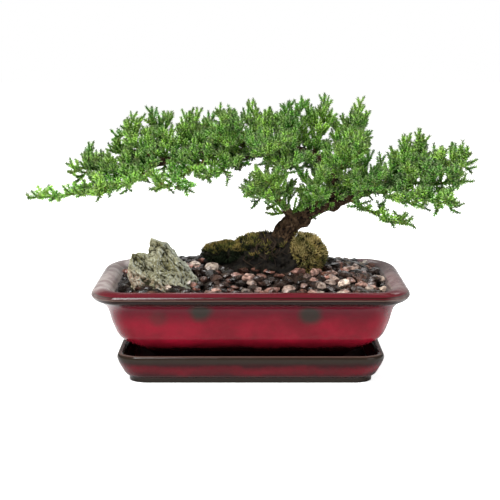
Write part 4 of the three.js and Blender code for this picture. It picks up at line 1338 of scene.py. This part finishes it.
def axes_of_spray(number, stem_line, twigs, reach, lift, rise):
    """A spray's stem, then its side twigs, each followed by the shoot on it, as in the solids."""
    stem = Axis(number, stem_line, STEM_RADII, 0.3, 0)
    chord = stem.line[-1] - stem.line[0]
    steep = chord.z > 0.55 * chord.length
    found = [(stem, None)]
    for k in range(twigs):
        share = 0.2 + 0.7 * (k + 0.5) / twigs
        turn = (number + 2.4 * k if steep else math.pi * k) + 0.5 * (draw(number, k, 1) - 0.5)
        spread = 0.9 + 0.3 * draw(number, k, 8)
        way = branch_way(stem.path.way(share), turn, spread, lift + 0.15 * draw(number, k, 2))
        length = reach * (1.12 - 0.4 * share) * (0.85 + 0.3 * draw(number, k, 3))
        twig = Axis(number, bent_line(stem.path.at(share), way, length, rise), TWIG_RADII, 0.12, 1)
        found.append((twig, stem))
        at = 0.34 + 0.2 * draw(number, k, 4)
        shoot_turn = math.pi * (k % 2) + 0.8 * (draw(number, k, 7) - 0.5)
        shoot_way = branch_way(twig.path.way(at), shoot_turn, 0.65, rise)
        shoot_length = SHOOT_LENGTH * (0.8 + 0.4 * draw(number, k, 6))
        shoot_line = bent_line(twig.path.at(at), shoot_way, shoot_length, 0.4)
        found.append((Axis(number, shoot_line, SHOOT_RADII, 0.1, 2), twig))
    return found


def distances(places, axes):
    """From each place to the nearest straight piece of any axis."""
    starts = np.array([p for axis in axes for p in axis.line[:-1]])
    ends = np.array([p for axis in axes for p in axis.line[1:]])
    spans = ends - starts
    offsets = places[:, None] - starts[None]
    shares = np.clip((offsets * spans).sum(2) / (spans**2).sum(1), 0, 1)
    return np.linalg.norm(offsets - shares[..., None] * spans, axis=2).min(1)


def lay_out_axes():
    """All the axes, each cut short where it comes too near another spray, as in the solids."""
    kept = []
    for number, (line, twigs, reach, lift, rise) in enumerate(SPRAYS.values()):
        others = list(kept)
        for axis, parent in axes_of_spray(number, line, twigs, reach, lift, rise):
            if parent:
                if parent not in kept:
                    continue
                steps = CLEAR_STEPS
                places = np.array([axis.path.at((k + 1) / steps) for k in range(steps)])
                near = distances(places, others) < CLEAR_OF_STEMS if others else np.zeros(steps, bool)
                free = int(np.argmax(near)) if near.any() else steps
                if free <= CLEAR_SHARE * steps:
                    continue
                if free < steps:
                    shorter = [axis.path.at(t * free / steps) for t in (0, 0.5, 1)]
                    axis = Axis(number, shorter, axis.radii, axis.needles_from, axis.level)
            kept.append(axis)
    return kept


def whorl_stamp(seed, tilt):
    """Three awl-shaped needles round an axis, each as long as 1."""
    bm = bmesh.new()
    for k in range(3):
        one = bmesh.new()
        bmesh.ops.create_cone(one, cap_ends=True, segments=3, radius1=0.175, radius2=0, depth=0.62)
        cap = [face for face in one.faces if face.normal.z < -0.9]
        bmesh.ops.poke(one, faces=cap, offset=0.38)
        bmesh.ops.translate(one, vec=(0, 0, 0.69), verts=one.verts)
        long = 0.85 + 0.3 * draw(seed, k, 1)
        bmesh.ops.scale(one, vec=(1, 0.8, long), verts=one.verts)
        lean = tilt + 0.3 * (draw(seed, k, 2) - 0.5)
        bmesh.ops.rotate(one, cent=(0, 0, 0), matrix=Matrix.Rotation(lean, 3, "X"), verts=one.verts)
        turn = 2 * math.pi * (k + 0.22 * (draw(seed, k, 3) - 0.5)) / 3
        bmesh.ops.rotate(one, cent=(0, 0, 0), matrix=Matrix.Rotation(turn, 3, "Z"), verts=one.verts)
        pour_into(bm, one)
    return Stamp(bm, mark=lambda place: min(1.0, place.length))


def core_stamp():
    """A short slim cone that stands on its base, for the green core of a shoot."""
    bm = bmesh.new()
    matrix = Matrix.Translation((0, 0, 0.5))
    bmesh.ops.create_cone(bm, cap_ends=True, segments=4, radius1=1, radius2=0.6, depth=1, matrix=matrix)
    return Stamp(bm, mark=lambda place: 0.1)


class Spray:
    """The mesh of one spray while it grows."""

    def __init__(self, sizes, whorls, tips, core, apart, top):
        self.patch = Patch()
        self.woods = []
        self.ends = []
        is_open = apart > 1
        self.length = sizes.needle_length / MM * (OPEN_NEEDLES if is_open else 1)
        self.spacing = sizes.whorl_spacing / MM * (OPEN_WHORLS if is_open else 1)
        self.shoot_spacing = sizes.shoot_spacing / MM * apart
        self.top = top
        self.whorls = whorls
        self.tips = tips
        self.core = core

    def add(self, stamp, matrix, tone, wood, end=0.0):
        self.patch.add(stamp, matrix, tone)
        self.woods.extend([wood] * len(stamp.marks))
        self.ends.extend([end] * len(stamp.marks))

    def grow(self, path, radii, needles_from, tone, woodiness, seed, grey=1.0):
        """One axis: its core, its whorls of needles, and the tuft at its end, which is grey."""
        steps = max(1, math.ceil(path.length / 6))
        for k in range(steps):
            low, high = path.at(k / steps), path.at((k + 1) / steps)
            middle = (k + 0.5) / steps
            radius = mix(radii, middle)
            matrix = standing(low, high - low, 0, (radius, radius, (high - low).length * 1.08))
            self.add(self.core, matrix, tone, max(0.0, 1 - middle / woodiness))
        count = max(3, round(path.length / self.spacing))
        for k in range(count):
            share = (k + 0.5) / count
            if share < needles_from:
                continue
            dice = draw(seed, k, 11)
            near_end = (1 - share) * path.length
            size = self.length * (0.82 + 0.3 * dice) * (0.7 + 0.3 * min(1.0, near_end / 2.5))
            thin = min(1.0, 0.45 + (share - needles_from) * path.length / 4)
            roll = 1.047 * k + 0.5 * dice
            matrix = standing(path.at(share), path.way(share), roll, (size, size, size * thin))
            stamp = (self.tips if near_end < 1.5 else self.whorls)[int(dice * 97) % len(self.whorls)]
            bright = unit(tone + 0.3 * (share - 0.5) + 0.55 * (dice - 0.5))
            brown = 0.75 * max(0.0, 1 - share * path.length / 4) if draw(seed, k, 12) > 0.45 else 0.0
            end = grey * min(0.92, max(0.0, 1.25 - near_end / 3.2)) * (0.75 + 0.25 * draw(seed, 1, 13))
            self.add(stamp, matrix, bright, brown, end)

    def side_shoots(self, path, start, tone, lift, seed):
        """Short shoots all along an axis."""
        count = round(path.length * (1 - start) / self.shoot_spacing)
        for k in range(count):
            share = start + (1 - start) * (k + 0.4) / count
            turn = 2.4 * k + draw(seed, k, 21)
            spread = 0.5 + 0.35 * draw(seed, k, 22)
            way = branch_way(path.way(share), turn, spread, lift)
            length = (4.5 + 5 * draw(seed, k, 23)) * (1.2 - 0.55 * share)
            shoot = Path(bent_line(path.at(share), way, length, 0.5))
            # Shoots that point up get a lighter tone: painted light.
            bright = min(1.0, tone + 0.45 * draw(seed, k, 24) + 0.12 * way.z)
            grey = min(1.0, max(0.0, 5 * share - 3.2, 1 + (shoot.at(1).z - self.top) / 6))
            self.grow(shoot, SHOOT_RADII, 0.08, bright, 0.1, SHOOT_SEEDS + 50 * seed + k, grey)

    def clothe(self, start, way, length, seed):
        """A twig that stands on a limb or a stem, with its shoots."""
        twig = Path(bent_line(start, way, length, 0.4))
        # Twigs on the limbs and stems inside the tree get a lower tone: painted shade.
        tone = 0.22 + 0.25 * draw(seed, 1, 31)
        self.grow(twig, TWIG_RADII, 0.1, tone, 0.35, seed)
        self.side_shoots(twig, 0.2, tone, 0.3, seed)


def clothing(limb, start, end, pitch, lengths, seed):
    """Where twigs stand along a limb: their start, way and length."""
    path = limb if isinstance(limb, Path) else Path(limb)
    up, level, down = lengths
    count = round(path.length * (end - start) / pitch)
    for k in range(count):
        share = start + (end - start) * (k + 0.5) / count
        turn = 2.4 * k + 0.6 * draw(seed, k, 41)
        way = branch_way(path.way(share), turn, 1.05 + 0.35 * draw(seed, k, 42), 0.12)
        length = level + max(0, way.z) * (up - level) + max(0, -way.z) * (down - level)
        yield path.at(share), way, length * (0.75 + 0.4 * draw(seed, k, 43))


class BONSAI_OT_add_foliage(bpy.types.Operator):
    """Model each spray of needles, shoot by shoot"""

    bl_idname = "bonsai.add_foliage"
    bl_label = "Foliage"

    def execute(self, context):
        sizes = context.scene.bonsai_sizes
        whorls = [whorl_stamp(seed, 0.8) for seed in range(8)]
        tips = [whorl_stamp(seed + 20, 0.66) for seed in range(8)]
        core = core_stamp()
        material = needle_material()
        axes = lay_out_axes()
        sprays = []
        for name, (line, *_) in SPRAYS.items():
            top = max(place[2] for place in line)
            sprays.append(Spray(sizes, whorls, tips, core, OPEN_SPRAYS.get(name, 1), top))
        roots = [Vector(line[0]) for line, *_ in SPRAYS.values()]
        for number, (name, spray) in enumerate(zip(SPRAYS, sprays)):
            line, *_, rise = SPRAYS[name]
            for order, axis in enumerate(a for a in axes if a.spray == number):
                seed = 40 * number + order
                tone = 0.34 + 0.2 * draw(seed, 1, 5)
                spray.grow(axis.path, axis.radii, axis.needles_from, tone, (0.9, 0.5, 0.2)[axis.level], seed)
                lift = 0.25 + 0.3 * rise
                spray.side_shoots(axis.path, 0.13, 0.42, lift, seed)
            rule = CLOTHED_STEMS.get(name, OTHER_STEMS)
            for k, (start, way, length) in enumerate(clothing(line, *rule, number) if rule else ()):
                spray.clothe(start, way, length, STEM_SEEDS + 40 * number + k)
        for number, ((limb, _), *rule) in enumerate(CLOTHED_LIMBS):
            for k, (start, way, length) in enumerate(clothing(limb, *rule, number)):
                nearest = min(range(len(roots)), key=lambda r: (roots[r] - start).length)
                sprays[nearest].clothe(start, way, length, LIMB_SEEDS + 200 * number + k)
        for name, spray in zip(SPRAYS, sprays):
            patch = spray.patch
            piece = finish_piece(
                patch.bm, "needles_" + name, material, ["foliage_" + name], smooth=False
            )
            set_values(piece, "mark", patch.marks)
            set_values(piece, "tone", patch.tones)
            set_values(piece, "wood", spray.woods)
            set_values(piece, "end", spray.ends)
        return {"FINISHED"}


# Stage


class BONSAI_OT_set_stage(bpy.types.Operator):
    """Set the floor, the lights and the camera"""

    bl_idname = "bonsai.set_stage"
    bl_label = "Stage"

    def execute(self, context):
        scene = context.scene
        bm = bmesh.new()
        bmesh.ops.create_grid(bm, x_segments=1, y_segments=1, size=FLOOR_HALF)
        floor = placed("floor", mesh_of(bm, "floor"))
        material, nodes, shader = new_material("pale_floor")
        connect(nodes, shader, Base_Color=(0.9, 0.9, 0.9, 1), Roughness=0.9, Specular_IOR_Level=0.0)
        seen = nodes.add("LightPath").outputs["Is Camera Ray"]
        glow = nodes.add("MapRange", {"Value": seen, **FLOOR_GLOW}).outputs["Result"]
        connect(nodes, shader, Emission_Color=(1, 1, 1, 1), Emission_Strength=glow)
        floor.data.materials.append(material)
        world = scene.world or bpy.data.worlds.new("studio")
        scene.world = world
        world.use_nodes = True
        tree = world.node_tree
        rays = tree.nodes.new("ShaderNodeLightPath")
        seen = tree.nodes.new("ShaderNodeMapRange")
        seen.inputs["To Min"].default_value = WORLD_LIGHT
        tree.links.new(rays.outputs["Is Camera Ray"], seen.inputs["Value"])
        tree.links.new(seen.outputs["Result"], tree.nodes["Background"].inputs["Strength"])
        tree.nodes["Background"].inputs["Color"].default_value = (1, 1, 1, 1)
        scene.view_settings.view_transform = "Standard"
        for name, place, size, power in LIGHTS:
            light = bpy.data.lights.new(name, "AREA")
            light.shape = "SQUARE"
            light.size = size
            light.energy = power
            lamp = placed(name, light)
            lamp.location = place
            lamp.rotation_euler = (LIT_PLACE - Vector(place)).to_track_quat("-Z", "Y").to_euler()
        camera = placed("camera", bpy.data.cameras.new("camera"))
        camera.location = CAMERA["place"]
        camera.rotation_euler = (math.radians(90 - CAMERA["pitch"]), 0, 0)
        camera.data.sensor_width = CAMERA["sensor"]
        camera.data.lens = CAMERA["lens"]
        scene.camera = camera
        return {"FINISHED"}


OPERATORS = [
    BONSAI_OT_add_tray,
    BONSAI_OT_add_pot,
    BONSAI_OT_finish_soil,
    BONSAI_OT_add_gravel,
    BONSAI_OT_add_rock,
    BONSAI_OT_add_roots,
    BONSAI_OT_add_moss,
    BONSAI_OT_add_wood,
    BONSAI_OT_add_foliage,
    BONSAI_OT_set_stage,
]


class BONSAI_PT_panel(bpy.types.Panel):
    """The bonsai's pieces, sizes and colours"""

    bl_idname = "BONSAI_PT_panel"
    bl_label = "Bonsai"
    bl_space_type = "VIEW_3D"
    bl_region_type = "UI"
    bl_category = "Bonsai"

    def draw(self, context):
        for operator in OPERATORS:
            self.layout.operator(operator.bl_idname)
        for settings in (context.scene.bonsai_sizes, context.scene.bonsai_colours):
            for name in settings.bl_rna.properties.keys():
                if name not in ("rna_type", "name"):
                    self.layout.prop(settings, name)


CLASSES = [BonsaiSizes, BonsaiColours, *OPERATORS, BONSAI_PT_panel]


def register():
    for item in CLASSES:
        bpy.utils.register_class(item)
    bpy.types.Scene.bonsai_sizes = bpy.props.PointerProperty(type=BonsaiSizes)
    bpy.types.Scene.bonsai_colours = bpy.props.PointerProperty(type=BonsaiColours)


def unregister():
    del bpy.types.Scene.bonsai_colours
    del bpy.types.Scene.bonsai_sizes
    for item in reversed(CLASSES):
        bpy.utils.unregister_class(item)


def main():
    register()
    for operator in OPERATORS:
        group, name = operator.bl_idname.split(".")
        getattr(getattr(bpy.ops, group), name)()


if __name__ == "__main__":
    main()
